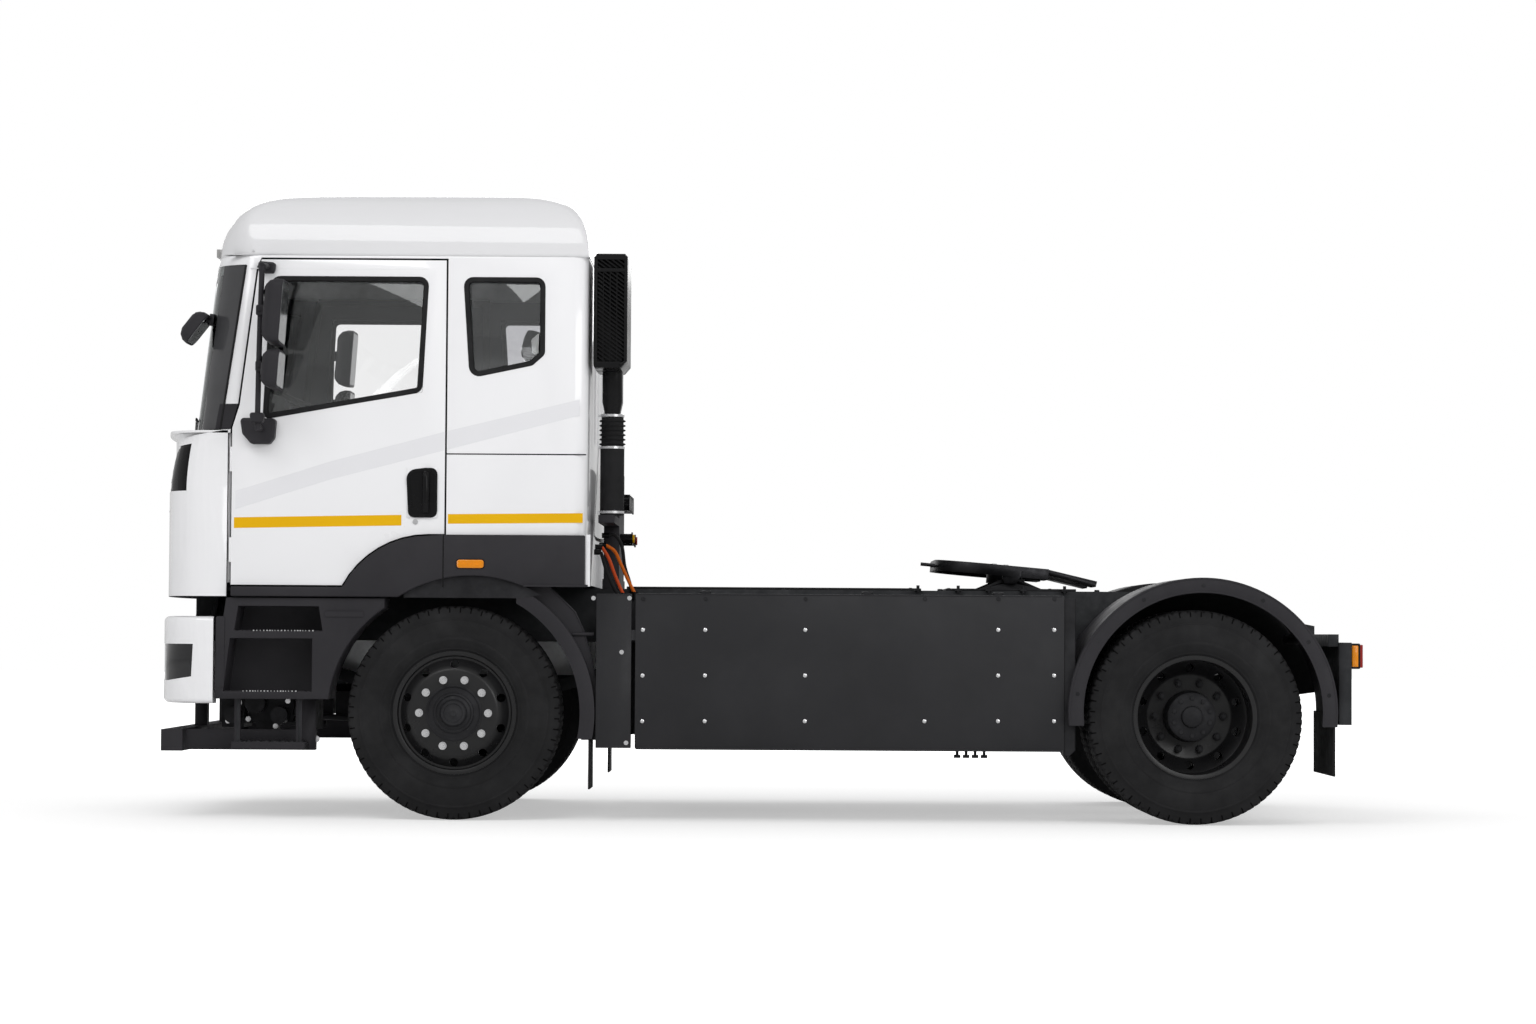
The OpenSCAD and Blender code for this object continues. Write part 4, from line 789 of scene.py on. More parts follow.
def window_frame(outline, radii, name, bodies):
    """A rubber seal that stands a little proud, with an inner lip on the glass."""
    rim = Shape()
    outer = rounded(outline, radii)
    middle = rounded(inset(outline, 0.004), [max(r - 0.004, 0.002) for r in radii])
    lip = rounded(inset(outline, 0.021), [max(r - 0.02, 0.006) for r in radii])
    edge = rounded(inset(outline, 0.026), [max(r - 0.025, 0.004) for r in radii])
    layers = [(outer, SKIN - 0.004), (outer, SKIN + 0.0012), (middle, SKIN + 0.0042), (lip, SKIN + 0.0036),
              (edge, SKIN - 0.008), (edge, SKIN - 0.024), (outer, SKIN - 0.024)]
    rim.add([(x, y, z) for ring, y in layers for x, z in ring], ring_faces(len(layers), len(outer), True))
    on_both(rim, name, RUBBER, bodies)
    # Painted corners outside the rounded seal
    fill = Shape()
    steps = 6
    for i, corner in enumerate(outline):
        arc = rounded(outline, radii)[i * steps:(i + 1) * steps]
        ring = [corner] + arc
        m = len(ring)
        out = [(x, SKIN + 0.0006, z) for x, z in ring] + [(x, SKIN - 0.012, z) for x, z in ring]
        fill.add(out, [tuple(range(m)), tuple(range(2 * m - 1, m - 1, -1))] +
                 [(k, (k + 1) % m, (k + 1) % m + m, k + m) for k in range(m)])
    on_both(fill, name + "_corner", WHITE, bodies, smooth=False)


window_frame(DOOR_WINDOW, [0.03, 0.05, 0.045, 0.035], "door_window_seal", DOORS)
window_frame(QUARTER_WINDOW, [0.045, 0.05, 0.035, 0.035, 0.045], "quarter_window_seal", "cab")


# Door: handle, lock and the crease under its upper edge
def door_parts():
    handle = Shape()
    pocket = rounded(side_points([(228, 1470), (240, 1700), (150, 1712), (88, 1712), (88, 1470)]),
                     [0.03, 0.05, 0.04, 0.03, 0.03])
    inner = rounded(side_points([(212, 1487), (222, 1688), (152, 1696), (104, 1696), (104, 1487)]),
                    [0.022, 0.04, 0.03, 0.022, 0.022])
    handle.band(pocket, inner, SKIN - 0.002, SKIN + 0.011)
    handle.slab(inner, SKIN - 0.002, SKIN + 0.0068)
    grip = []
    for i in range(15):
        t = i / 14
        bow = math.sin(math.pi * t)
        grip.append((ahead(146 - 4 * bow), SKIN + 0.010 + 0.012 * bow ** 0.5, (1500 + 190 * t) / 1000))
    handle.pipe(grip, 0.0165, 14)
    handle.rod((ahead(196), SKIN - 0.001, 1.662), (ahead(196), SKIN + 0.0088, 1.662), 0.012, 20)
    on_both(handle, "door_handle", BLACK, DOORS)
    lock = Shape()
    lock.rod((ahead(194), SKIN - 0.001, 1.449), (ahead(194), SKIN + 0.003, 1.449), 0.013, 24)
    lock.rod((ahead(194), SKIN + 0.0028, 1.449), (ahead(194), SKIN + 0.0045, 1.449), 0.0075, 20)
    on_both(lock, "door_lock", STEEL, DOORS)
    crease = Shape()
    crease.slab(side_points([(1008, 2684), (140, 2684), (140, 2679), (1010, 2679)]), SKIN - 0.001,
                SKIN + 0.0007)
    on_both(crease, "door_crease", WHITE, DOORS)


door_parts()

# Stripes and pale bands, as thin plates on the skin
MARKINGS = (
    ("stripe_door", YELLOW, DOORS, 0.0005, [(1076, 1466), (1076, 1414), (262, 1431), (262, 1483)]),
    ("stripe_side", YELLOW, "cab", 0.0005, [(36, 1488), (36, 1441), (-620, 1449), (-620, 1496)]),
    ("pale_band_door", BAND, DOORS, 0.0004, [(1070, 1595), (1070, 1506), (607, 1654), (56, 1798), (56, 1889),
                                             (607, 1742)]),
    ("pale_band_side", BAND, "cab", 0.0004, [(40, 1893), (40, 1802), (-600, 1972), (-600, 2050)]),
)
for marking, finish, bodies, proud, corners in MARKINGS:
    plate = Shape()
    plate.slab(side_points(corners), SKIN - 0.0005, SKIN + proud)
    on_both(plate, marking, finish, bodies, smooth=False)

# Body seams behind the door
seams = Shape()
seams.slab(side_points([(44, 1784), (44, 1778), (-634, 1778), (-634, 1784)]), SKIN - 0.001, SKIN + 0.0007)
on_both(seams, "panel_seam", BLACK, "cab")
pillar = Shape()
side_patch(pillar, [(1896, 1098, 1176), (1950, 1082, 1168), (2000, 1068, 1158), (2019, 1062, 1154)], 2.0, 3.0)
on_both(pillar, "pillar_foot", TRIM, "cab")

# Windscreen's printed border and rubber
# The printed strips take the grey with painted reflection in it.
border = Shape()
skin_strip(border, 1896, 1950, -1050, 1050, 0.9, 1.2)
skin_strip(border, 2632, 2696, -1010, 1010, 0.9, 1.2)
border.object("screen_border", GLASS_BORDER_REFLECTION, "cab")
sides = Shape()
side_patch(sides, [(1896 + 800 * i / 12, 1152 - 118 * i / 12, 1255 - 106 * i / 12) for i in range(13)],
           0.9, 1.2)
on_both(sides, "screen_side_border", GLASS_BORDER_REFLECTION, "cab")
cord = Shape()
foot_to_top = [(1894 + 804 * i / 16, 1150 - 118 * i / 16) for i in range(17)]
cord.pipe([metres(x, skin_y(x, z, 1.5), z) for z, x in foot_to_top], 0.0055, 8)
on_both(cord, "screen_rubber", RUBBER, "cab")

# Mirrors on the doors
def shell(shape, outline, y_layers, slot=0):
    """A closed form lofted across Y; layers hold (y, shrink) and the outline holds (x, z)."""
    rings = [(y, inset(outline, s) if s else outline) for y, s in y_layers]
    n = len(outline)
    verts = [(x, y, z) for y, ring in rings for x, z in ring]
    faces = [tuple(range(n)), tuple(range(len(verts) - 1, len(verts) - n - 1, -1))]
    return shape.add(verts, faces + ring_faces(len(rings), n, flip=True), slot)


def along_x(shape, outline, x_layers, turn=None, slot=0):
    """A closed form lofted along X; layers hold (x, shrink) and the outline holds (y, z)."""
    rings = [(x, inset(outline, s) if s else outline) for x, s in x_layers]
    n = len(outline)
    verts = [Vector((x, y, z)) for x, ring in rings for y, z in ring]
    if turn:
        verts = [turn @ v for v in verts]
    faces = [tuple(range(n)), tuple(range(len(verts) - 1, len(verts) - n - 1, -1))]
    return shape.add(verts, faces + ring_faces(len(rings), n), slot)


MIRROR_Y = SKIN + 0.190


def around_post(half, full, shrink):
    """Layers of a clamp round the mirror's post, with its two faces drawn in."""
    return [(MIRROR_Y - half, shrink), (MIRROR_Y - full, 0), (MIRROR_Y + full, 0), (MIRROR_Y + half, shrink)]


def door_mirror():
    arm = Shape()
    post = [(938, 1880), (939, 1960), (936, 2200), (931, 2450), (926, 2640), (921, 2672)]
    path = [Vector((ahead(x), MIRROR_Y, z / 1000)) for x, z in post]
    arm.pipe(path, 0.0135, 16)
    for x, heights in ((921, (2.672, 2.683, 2.686)), (938, (1.905, 1.893, 1.89))):
        outward = (MIRROR_Y, SKIN + 0.1, SKIN + 0.004)
        arm.pipe([(ahead(x), y, z) for y, z in zip(outward, heights)], 0.0135, 14)
    top = rounded(side_points([(882, 2707), (968, 2715), (965, 2655), (890, 2655)]), 0.014)
    shell(arm, top, [(SKIN + 0.0005, 0), (SKIN + 0.03, 0), (SKIN + 0.05, 0.010)])
    foot = rounded(side_points([(870, 1946), (1045, 1948), (1032, 1870), (990, 1822), (900, 1822),
                                (878, 1852)]), 0.018)
    shell(arm, foot, [(SKIN + 0.0005, 0), (SKIN + 0.055, 0), (SKIN + 0.07, 0.012)])
    collar = rounded(side_points([(905, 1964), (975, 1964), (970, 1915), (910, 1915)]), 0.012)
    shell(arm, collar, around_post(0.032, 0.024, 0.006))
    for z in (2.458, 2.188):
        knob = rounded([(ahead(950), z - 0.026), (ahead(950), z + 0.026), (ahead(882), z + 0.026),
                        (ahead(882), z - 0.026)], 0.010)
        shell(arm, knob, around_post(0.026, 0.02, 0.005))
        arm.bolt((ahead(934), MIRROR_Y + 0.026, z), (0, 1, 0), 0.013, 0.006, 0.018)
    on_both(arm, "mirror_arm", TRIM, DOORS)

    heads, faces = Shape(), Shape()
    for z0, z1, x_front, depth in ((2.288, 2.605, 905, 0.092), (2.076, 2.268, 912, 0.088)):
        middle = (z0 + z1) / 2
        half = (z1 - z0) / 2
        y0, y1 = MIRROR_Y - 0.085, MIRROR_Y + 0.165
        face = rounded([(y0, -half), (y1, -half * 0.94), (y1 - 0.008, half), (y0 + 0.006, half)], 0.036, 7)
        turn = Matrix.Translation((ahead(x_front), 0, middle)) @ Matrix.Rotation(math.radians(-4), 4, "Y")
        along_x(heads, face, [(-depth, 0.004), (-depth + 0.004, 0.0), (-depth * 0.62, 0.0),
                              (-depth * 0.3, 0.010), (-depth * 0.1, 0.030), (0.0, 0.062)], turn)
        glass = inset(face, 0.012)
        along_x(faces, glass, [(-depth - 0.0012, 0.001), (-depth + 0.002, 0)], turn)
    on_both(heads, "mirror_heads", TRIM, DOORS)
    on_both(faces, "mirror_glass", MIRROR, DOORS)


door_mirror()
for word in ("left", "right"):
    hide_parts(f"door_{word}_mirror")


# Mirror over the windscreen's corner
def front_view_mirror():
    head, glass = Shape(), Shape()
    turn = (Matrix.Translation((ahead(1286), 1.115, 2.398)) @ Matrix.Rotation(math.radians(-38), 4, "Y"))
    face = rounded([(-0.115, -0.088), (0.115, -0.088), (0.115, 0.088), (-0.115, 0.088)], 0.05, 8)
    along_x(head, face, [(-0.028, 0.003), (-0.024, 0.0), (0.002, 0.002), (0.026, 0.018), (0.04, 0.045)], turn)
    along_x(glass, inset(face, 0.01), [(-0.0292, 0.001), (-0.026, 0.0)], turn)
    start = metres(skin_x(1050, 2440, 2), 1050, 2440)
    head.pipe([start, start + Vector((0.06, 0.02, 0.03)), Vector((ahead(1285), 1.10, 2.465)),
               Vector((ahead(1292), 1.112, 2.43))], 0.011, 12)
    head.rod(start - Vector((0.004, 0, 0)), start + Vector((0.016, 0.004, 0.002)), 0.03, 20)
    head.object("front_mirror_head", TRIM, "cab", stands_for=("front_mirror",))
    glass.object("front_mirror_glass", MIRROR, "cab")


front_view_mirror()


# Air intake behind the cab
def intake():
    y0, y1 = 0.715, 1.185
    x0, x1 = ahead(-829), ahead(-664)
    # The face has a small opening above a large one
    large_low, large_high, small_low, small_high = 2.238, 2.676, 2.694, 2.736
    box = Shape()
    body_outline = rounded(side_points([(-664, 2215), (-664, 2752), (-680, 2766), (-815, 2766), (-829, 2752),
                                        (-829, 2240), (-800, 2206), (-676, 2206)]), 0.008)
    shell(box, body_outline, [(y0, 0.012), (y0 + 0.012, 0), (y1 - 0.03, 0), (y1 - 0.028, 0.003)])
    bars = Shape()
    for low_x, high_x, low_z, high_z in ((x0, x0 + 0.017, 2.206 + 0.03, 2.752), (x1 - 0.018, x1, 2.22, 2.752),
                                         (x0 + 0.01, x1 - 0.01, small_high, 2.765),
                                         (x0 + 0.01, x1 - 0.01, large_high, small_low),
                                         (x0 + 0.03, x1 - 0.012, 2.207, large_low)):
        bars.box((low_x, y1 - 0.03, low_z), (high_x, y1, high_z))
    bars.slab([(x0, 2.24), (x0 + 0.017, 2.24), (x0 + 0.045, 2.222), (x0 + 0.03, 2.207)], y1 - 0.03, y1)
    edge_round(bars.object("intake_face", BLACK, "cab"), 0.004, 3)
    slats = Shape()
    rise = math.tan(math.radians(36))
    pitch_z, slat_height, reach = 0.0205, 0.0075, 0.1
    xa, xb = x0 + 0.016, x1 - 0.016
    for low_z, high_z in ((large_low, large_high), (small_low, small_high)):
        z = low_z - reach
        while z < high_z + reach:
            za, zb = (z + (x - x0) * rise for x in (xa, xb))
            ta = max(0.0, (low_z - za) / (zb - za))
            tb = min(1.0, (high_z - za) / (zb - za))
            if tb > ta + 0.03:
                a, b = ((xa + (xb - xa) * t, za + (zb - za) * t) for t in (ta, tb))
                slats.slab([a, b, (b[0], b[1] + slat_height), (a[0], a[1] + slat_height)], y1 - 0.026,
                           y1 - 0.006)
            z += pitch_z
    for x in (x0 + 0.05, x0 + 0.083, x0 + 0.116):
        slats.box((x, y1 - 0.028, large_low), (x + 0.005, y1 - 0.012, large_high))
    slats.object("intake_slats", BLACK, "cab")
    # The neck narrows downward to the round duct
    x_mid, y_mid = ahead(-745), 0.83
    neck = rounded([(x_mid - 0.05, 0.745), (x_mid + 0.05, 0.745), (x_mid + 0.05, 0.915),
                    (x_mid - 0.05, 0.915)], 0.04, 6)
    layers = ((2.207, 1.0), (2.18, 0.98), (2.06, 0.86), (2.01, 0.66), (1.994, 0.66))
    rings = []
    for z, s in layers:
        across = 1.0 if s > 0.9 else s + 0.14
        rings += [(x_mid + (x - x_mid) * across, y_mid + (y - y_mid) * s, z) for x, y in neck]
    box.add(rings, ring_faces(len(layers), len(neck), flip=True))
    box.box((ahead(-664), 0.74, 2.32), (ahead(-661.5), 1.10, 2.70))
    edge_round(box.object("intake_housing", BLACK, "cab", stands_for=("air_intake",)), 0.003, 2)
    clamp = Shape()
    place = Matrix.Translation((x_mid, y_mid, 0))
    clamp.lathe([(0.056, 1.986), (0.0585, 1.988), (0.0585, 2.0), (0.056, 2.002)], place, 40)
    clamp.box((x_mid + 0.052, 0.822, 1.988), (x_mid + 0.07, 0.838, 2.0))
    clamp.object("intake_clamp", STEEL, "cab")


intake()


# Trim over the front wheel: grooves, marker lamp and rear edge
def trim_parts():
    out = SKIN + 0.022
    groove = Shape()
    groove.slab(side_points([(52, 1130), (52, 1385), (58, 1385), (58, 1130)]), out - 0.001, out + 0.0006)
    on_both(groove, "trim_joint", BLACK, "cab")
    body = Shape()
    ring = rounded(side_points([(-12, 1266), (-12, 1226), (-142, 1226), (-142, 1266)]), 0.012)
    body.band(rounded(side_points([(-8, 1270), (-8, 1222), (-146, 1222), (-146, 1270)]), 0.015), ring,
              out - 0.0005, out + 0.004)
    on_both(body, "marker_rim", BLACK, "cab")
    lens_shape = Shape()
    shell(lens_shape, ring, [(out - 0.0005, 0), (out + 0.006, 0.0), (out + 0.010, 0.005)])
    on_both(lens_shape, "side_marker", AMBER, "cab")
    cells = Shape()
    for x in (-44, -77, -110):
        cells.rod((ahead(x), out + 0.008, 1.246), (ahead(x), out + 0.0112, 1.246), 0.010, 20)
    on_both(cells, "side_marker_optics", AMBER, "cab")
    strip = Shape()
    strip.slab(side_points([(-638, 1392), (-658, 1392), (-658, 1140), (-638, 1140)]), SKIN - 0.002,
               SKIN + 0.004)
    on_both(strip, "rear_corner_strip", WHITE, "cab")
    lip = Shape()
    lip.slab(side_points([(-648, 1148), (-336, 1148), (-336, 1137), (-648, 1137)]), out - 0.001, out + 0.003)
    on_both(lip, "trim_lip", TRIM, "cab")


trim_parts()


# Steps
def step_parts():
    for name, z, x0, x1, worn in (("upper", 0.913, 608, 1076, (690, 1000)),
                                  ("lower", 0.619, 650, 1140, (770, 1040))):
        tread = Shape()
        count = int((x1 - x0) / 11)
        teeth_line = []
        for i in range(count + 1):
            teeth_line.append((ahead(x0 + (x1 - x0) * i / count), z + (0.006 if i % 2 else 0.0)))
        tread.slab(teeth_line + [(ahead(x1), z - 0.016), (ahead(x0), z - 0.016)], SKIN - 0.004, SKIN - 0.0005)
        for k in range(4):
            y = SKIN - 0.045 - 0.04 * k
            row = [(x, high + 0.0004) for x, high in teeth_line]
            tread.slab(row + [(ahead(x1), z - 0.002), (ahead(x0), z - 0.002)], y - 0.002, y)
        on_both(tread, "step_tread_" + name, TRIM, "chassis")
        # Worn teeth in the middle of the tread
        teeth = Shape()
        low, high = worn
        for i in range(int((high - low) / 15)):
            x = low + 15 * i + 3 * math.sin(7 * i)
            rear = x - 5 - 2 * math.cos(5 * i)
            teeth.box((ahead(x), SKIN - 0.0042, z + 0.0015), (ahead(rear), SKIN + 0.0002, z + 0.0072))
        on_both(teeth, "step_teeth_" + name, STEEL, "chassis")
    hung = Shape()
    for x, foot in ((752, 750), (1052, 1054)):
        hung.pipe([(ahead(x), SKIN - 0.05, 0.60), (ahead(x), SKIN - 0.05, 0.40),
                   (ahead(foot), SKIN - 0.05, 0.362)], 0.012, 12)
    edge = [(ahead(728 + 343 * i / 30), 0.376 + (0.005 if i % 2 else 0.0)) for i in range(31)]
    edge += [(ahead(1071), 0.348), (ahead(728), 0.348)]
    for y in (SKIN - 0.004, SKIN - 0.148):
        hung.slab(edge, y - 0.0025, y)
    on_both(hung, "hanging_step", CHASSIS, "chassis")
    ridge = Shape()
    ridge.slab(rounded(side_points([(628, 1012), (628, 986), (440, 986), (440, 1012)]), 0.008), SKIN - 0.003,
               SKIN + 0.006)
    ridge.slab(rounded(side_points([(1158, 985), (1158, 640), (1116, 640), (1116, 985)]), 0.01), SKIN - 0.004,
               SKIN + 0.003)
    on_both(ridge, "step_panel_ribs", TRIM, "chassis")
    bolts = Shape()
    for x in (690, 770, 860, 1000, 1120):
        bolts.bolt((ahead(x), 1.0, 0.386), (0, 1, 0), 0.024, 0.014, 0.034)
    on_both(bolts, "underrun_bolts", STEEL, "chassis")


step_parts()


# Side covers
MM_PER_PIXEL = 4.858
AXLE_PIXEL, MIDDLE_PIXEL, GROUND_PIXEL, GROUND_SLOPE = 455, 825, 822.5, 0.0061


def px_point(px, py):
    """A point of the left side given in pixels of the picture, in metres."""
    ground = GROUND_PIXEL + GROUND_SLOPE * (px - MIDDLE_PIXEL)
    return ahead((AXLE_PIXEL - px) * MM_PER_PIXEL), (ground - py) * (MM_PER_PIXEL / 1000)


def at_side(px, py, y):
    x, z = px_point(px, py)
    return x, y, z


def cover_parts():
    bolts = Shape()
    columns = (643.6, 706, 806, 999, 1055)
    upright = Matrix.Rotation(math.radians(-90), 4, "X")
    for px, py in [(px, row) for row in (629.8, 675.4, 721.0) for px in columns] + [(925.5, 721)]:
        bolts.lathe([(0.0001, 0.0045), (0.006, 0.0042), (0.0095, 0.0025), (0.0105, 0.0)],
                    Matrix.Translation(at_side(px, py, SKIN)) @ upright, 20, closed=False)
    for px, py in ((594, 598), (630, 598), (622.5, 652), (627.6, 742.5)):
        bolts.bolt(at_side(px, py, SKIN), (0, 1, 0), 0.015, 0.006, 0.022)
    on_both(bolts, "cover_bolts", STEEL, "chassis")
    dark = Shape()
    for px in (643.6, 706, 806, 925.5, 999, 1055):
        dark.bolt(at_side(px, 598.9, SKIN), (0, 1, 0), 0.014, 0.005, 0.02)
    on_both(dark, "cover_top_bolts", DARK_CAST, "chassis")
    seams = Shape()
    low = 0.357
    x_rear, x_front = ahead(-2955), ahead(-884)
    seams.box((x_rear, SKIN - 0.02, low - 0.006), (x_front, SKIN + 0.003, low + 0.004))
    seams.box((x_rear, SKIN - 0.03, 1.103), (x_front, SKIN + 0.0025, 1.109))
    seams.box((ahead(-858), SKIN - 0.02, 1.1), (ahead(-694), SKIN + 0.0025, 1.106))
    for obj in on_both(seams, "cover_lips", PANEL, "chassis"):
        edge_round(obj)
    hinge = Shape()
    for px in (706, 868, 999):
        x = px_point(px, 593)[0]
        hinge.box((x - 0.02, SKIN - 0.06, 1.104), (x + 0.02, SKIN - 0.004, 1.118))
        hinge.rod((x - 0.026, SKIN - 0.03, 1.117), (x + 0.026, SKIN - 0.03, 1.117), 0.006, 12)
    on_both(hinge, "cover_hooks", DARK_CAST, "chassis")
    cocks = Shape()
    for px in (959, 968, 977, 986):
        x = px_point(px, 750)[0]
        cocks.rod((x, SKIN - 0.06, 0.357), (x, SKIN - 0.06, 0.327), 0.007, 12)
        cocks.rod((x - 0.016, SKIN - 0.06, 0.325), (x + 0.016, SKIN - 0.06, 0.325), 0.008, 12)
    cocks.object("drain_cocks", DARK_CAST, "chassis")
    end_box = Shape()
    outline = side_points([(-2962, 1096), (-3020, 1096), (-3020, 358), (-2990, 330), (-2962, 330)])
    shell(end_box, rounded(outline, 0.006), [(SKIN - 0.16, 0), (SKIN - 0.012, 0), (SKIN - 0.008, 0.004)])
    on_both(end_box, "cover_end_box", DARK_CAST, "chassis")


cover_parts()


# Tail lamps
def lamp_parts():
    back = REAR_X - 0.820
    for side, word in ((1, "left"), (-1, "right")):
        housing = Shape()
        housing.box((back + 0.014, side * 1.176, 0.762), (back + 0.06, side * 0.784, 0.886))
        edge_round(housing.object("tail_lamp_body_" + word, BLACK, "chassis",
                                  stands_for=("tail_lamps",) if side > 0 else ()), 0.006, 3)
        red = Shape()
        red.box((back + 0.0005, side * 1.03, 0.768), (back + 0.016, side * 0.79, 0.880))
        red.box((back + 0.0005, side * 1.17, 0.768), (back + 0.022, side * 1.13, 0.880))
        edge_round(red.object("tail_lamp_red_" + word, RED, "chassis"), 0.004, 3)
        amber = Shape()
        amber.box((back + 0.0005, side * 1.125, 0.768), (back + 0.016, side * 1.035, 0.880))
        side_lens = [(back + 0.024, 0.772), (back + 0.056, 0.772), (back + 0.056, 0.876), (back + 0.024, 0.876)]
        shell(amber, side_lens,
              [(side * 1.172, 0), (side * 1.1775, 0.0), (side * 1.1795, 0.004)])
        edge_round(amber.object("tail_lamp_amber_" + word, AMBER, "chassis"), 0.003, 3)


lamp_parts()


# Details of the trailer coupling
def coupling_parts():
    tilt = math.radians(5)
    at = Vector((FRONT_X - 2.758, 0, 1.205))
    place = Matrix.Translation(at) @ Matrix.Rotation(-tilt, 4, "Y")
    bolts = Shape()
    for x in (0.03, 0.09):
        for y in (0.34, -0.34, 0.40, -0.40):
            at_plate = place @ Vector((x, y, 0.064))
            bolts.bolt(at_plate - Vector((0, 0, 0.0005)), (0, 0, 1), 0.02, 0.004, 0.028)
    for x, y in ((0.072 * math.cos(a * math.pi / 5), 0.072 * math.sin(a * math.pi / 5)) for a in range(10)):
        if x > -0.03:
            upward = place.to_3x3() @ Vector((0, 0, 1))
            bolts.bolt(place @ Vector((x, y, 0.0635)), upward, 0.012, 0.003, 0.016)
    bolts.object("coupling_bolts", STEEL, "coupling")
    nipples = Shape()
    for x, y in ((0.2, 0.2), (0.2, -0.2), (-0.1, 0.3), (-0.1, -0.3)):
        nipples.lathe([(0.0001, 0.0035), (0.006, 0.003), (0.008, 0.0), (0.0001, 0.0)],
                      place @ Matrix.Translation((x, y, 0.064)), 16)
    grooves = Shape()
    for r in (0.16 + 0.05 * k for k in range(3)):
        path = []
        for i in range(19):
            a = math.radians(-52 + 104 * i / 18)
            path.append(place @ Vector((0.055 + r * math.cos(a) * 0.85, r * math.sin(a), 0.0642)))
        grooves.pipe(path, 0.0022, 6)
    grooves.object("grease_grooves", STEEL, "coupling")
    nipples.object("grease_nipples", STEEL, "coupling")


coupling_parts()


# Frame: bolts on the flanges, air lines and the hooks over the side covers
def frame_parts():
    cross = Shape()
    for x in (REAR_X - 0.2, REAR_X + 0.4, REAR_X + 1.2, REAR_X + 2.0):
        for y in (-0.36, 0.36):
            cross.bolt((x, y, 1.1395), (0, 0, 1), 0.022, 0.010, 0.032)
    cross.object("flange_bolts", DARK_CAST, "chassis")
    lines = Shape()
    for k, y in enumerate((0.30, 0.27, 0.24)):
        lines.pipe([(FRONT_X - 0.80, y, 1.146), (FRONT_X - 1.6, y + 0.01, 1.146), (FRONT_X - 2.3, y, 1.146)],
                   0.0075, 10)
    lines.object("air_lines", RUBBER, "chassis")
    hooks = Shape()
    for px in (925, 967, 999, 1035, 1078):
        x = px_point(px, 592)[0]
        hooks.box((x - 0.016, 0.425, 1.139), (x + 0.016, 0.47, 1.150))
        hooks.rod((x, 0.462, 1.13), (x, 0.462, 1.166), 0.008, 12)
    on_both(hooks, "frame_hooks", DARK_CAST, "chassis")


frame_parts()


# Column behind the cab: connectors, lines and clamps
def column_parts():
    panel = Shape()
    x_back = ahead(-760)
    for k in range(4):
        y = -0.24 + 0.16 * k
        panel.rod((x_back + 0.001, y, 1.58), (x_back - 0.045, y, 1.58), 0.036, 24)
        panel.rod((x_back - 0.044, y, 1.58), (x_back - 0.052, y, 1.58), 0.04, 24)
        panel.box((x_back - 0.052, y - 0.012, 1.614), (x_back - 0.01, y + 0.012, 1.626))
    for k in range(2):
        y = -0.2 + 0.4 * k
        panel.rod((x_back + 0.001, y, 1.40), (x_back - 0.06, y, 1.40), 0.026, 20)
        panel.rod((x_back - 0.058, y, 1.40), (x_back - 0.066, y, 1.40), 0.034, 20)
    panel.object("line_sockets", BLACK, "chassis")
    rings = Shape()
    for y, material in ((-0.2, 0), (0.2, 1)):
        rings.rod((x_back - 0.066, y, 1.40), (x_back - 0.074, y, 1.40), 0.022, 20, material)
    rings.object("line_couplings", (RED, YELLOW), "chassis")


column_parts()


# Bellows and duct behind the cab
def duct_parts():
    place = Matrix.Translation((ahead(-745), 0.83, 0))
    profile = [(0.0001, 1.4995), (0.058, 1.4995), (0.0598, 1.502), (0.0598, 1.838), (0.055, 1.842)]
    for i in range(6):
        z = 1.846 + 0.023 * i
        profile += [(0.055, z), (0.0635, z + 0.0035), (0.066, z + 0.0065), (0.0635, z + 0.0095),
                    (0.055, z + 0.0135)]
    profile += [(0.0545, 1.984), (0.0001, 1.984)]
    duct = Shape()
    duct.lathe(profile, place, 56, closed=False)
    duct.object("intake_duct", RUBBER, "chassis", stands_for=("air_duct",))
    clamps = Shape()
    for z in (1.835, 1.514):
        clamps.lathe([(0.0600, z - 0.006), (0.0612, z - 0.006), (0.0612, z + 0.006), (0.0600, z + 0.006)],
                     place, 48)
        clamps.box((ahead(-745) + 0.058, 0.824, z - 0.007), (ahead(-745) + 0.07, 0.836, z + 0.007))
    clamps.object("duct_clamps", STEEL, "chassis")


duct_parts()


# Headlamps, and the seam under the grille
def front_parts():
    lens_line = [(0.0001, 0.004), (0.03, 0.002), (0.044, -0.004), (0.05, -0.012), (0.05, -0.03),
                 (0.0001, -0.03)]
    ring_line = [(0.05, 0.001), (0.058, 0.001), (0.058, -0.026), (0.05, -0.026)]
    for name, material, line, out, closed in (("lenses", LAMP, lens_line, -12, False),
                                              ("rings", STEEL, ring_line, -10, True)):
        lamps = Shape()
        for y in (0.80, 0.96, -0.80, -0.96):
            x = ahead(skin_x(1000 * y, 700, out, False))
            place = Matrix.Translation((x, y, 0.762)) @ Matrix.Rotation(math.radians(90), 4, "Y")
            lamps.lathe(line, place, 32, closed=closed)
        lamps.object("headlamp_" + name, material, "chassis")
    hood = Shape()
    skin_strip(hood, 1500, 1505, -1000, 1000, 0.6, 2.0, False, 40)
    hood.object("front_seam", BLACK, "cab")


front_parts()


# Rear mudguards: rolled edges, screws and inner splash guards
def arc_points(cx, cz, r, a0, a1, n):
    return [(cx + r * math.cos(math.radians(a0 + (a1 - a0) * i / n)),
             cz + r * math.sin(math.radians(a0 + (a1 - a0) * i / n))) for i in range(n + 1)]


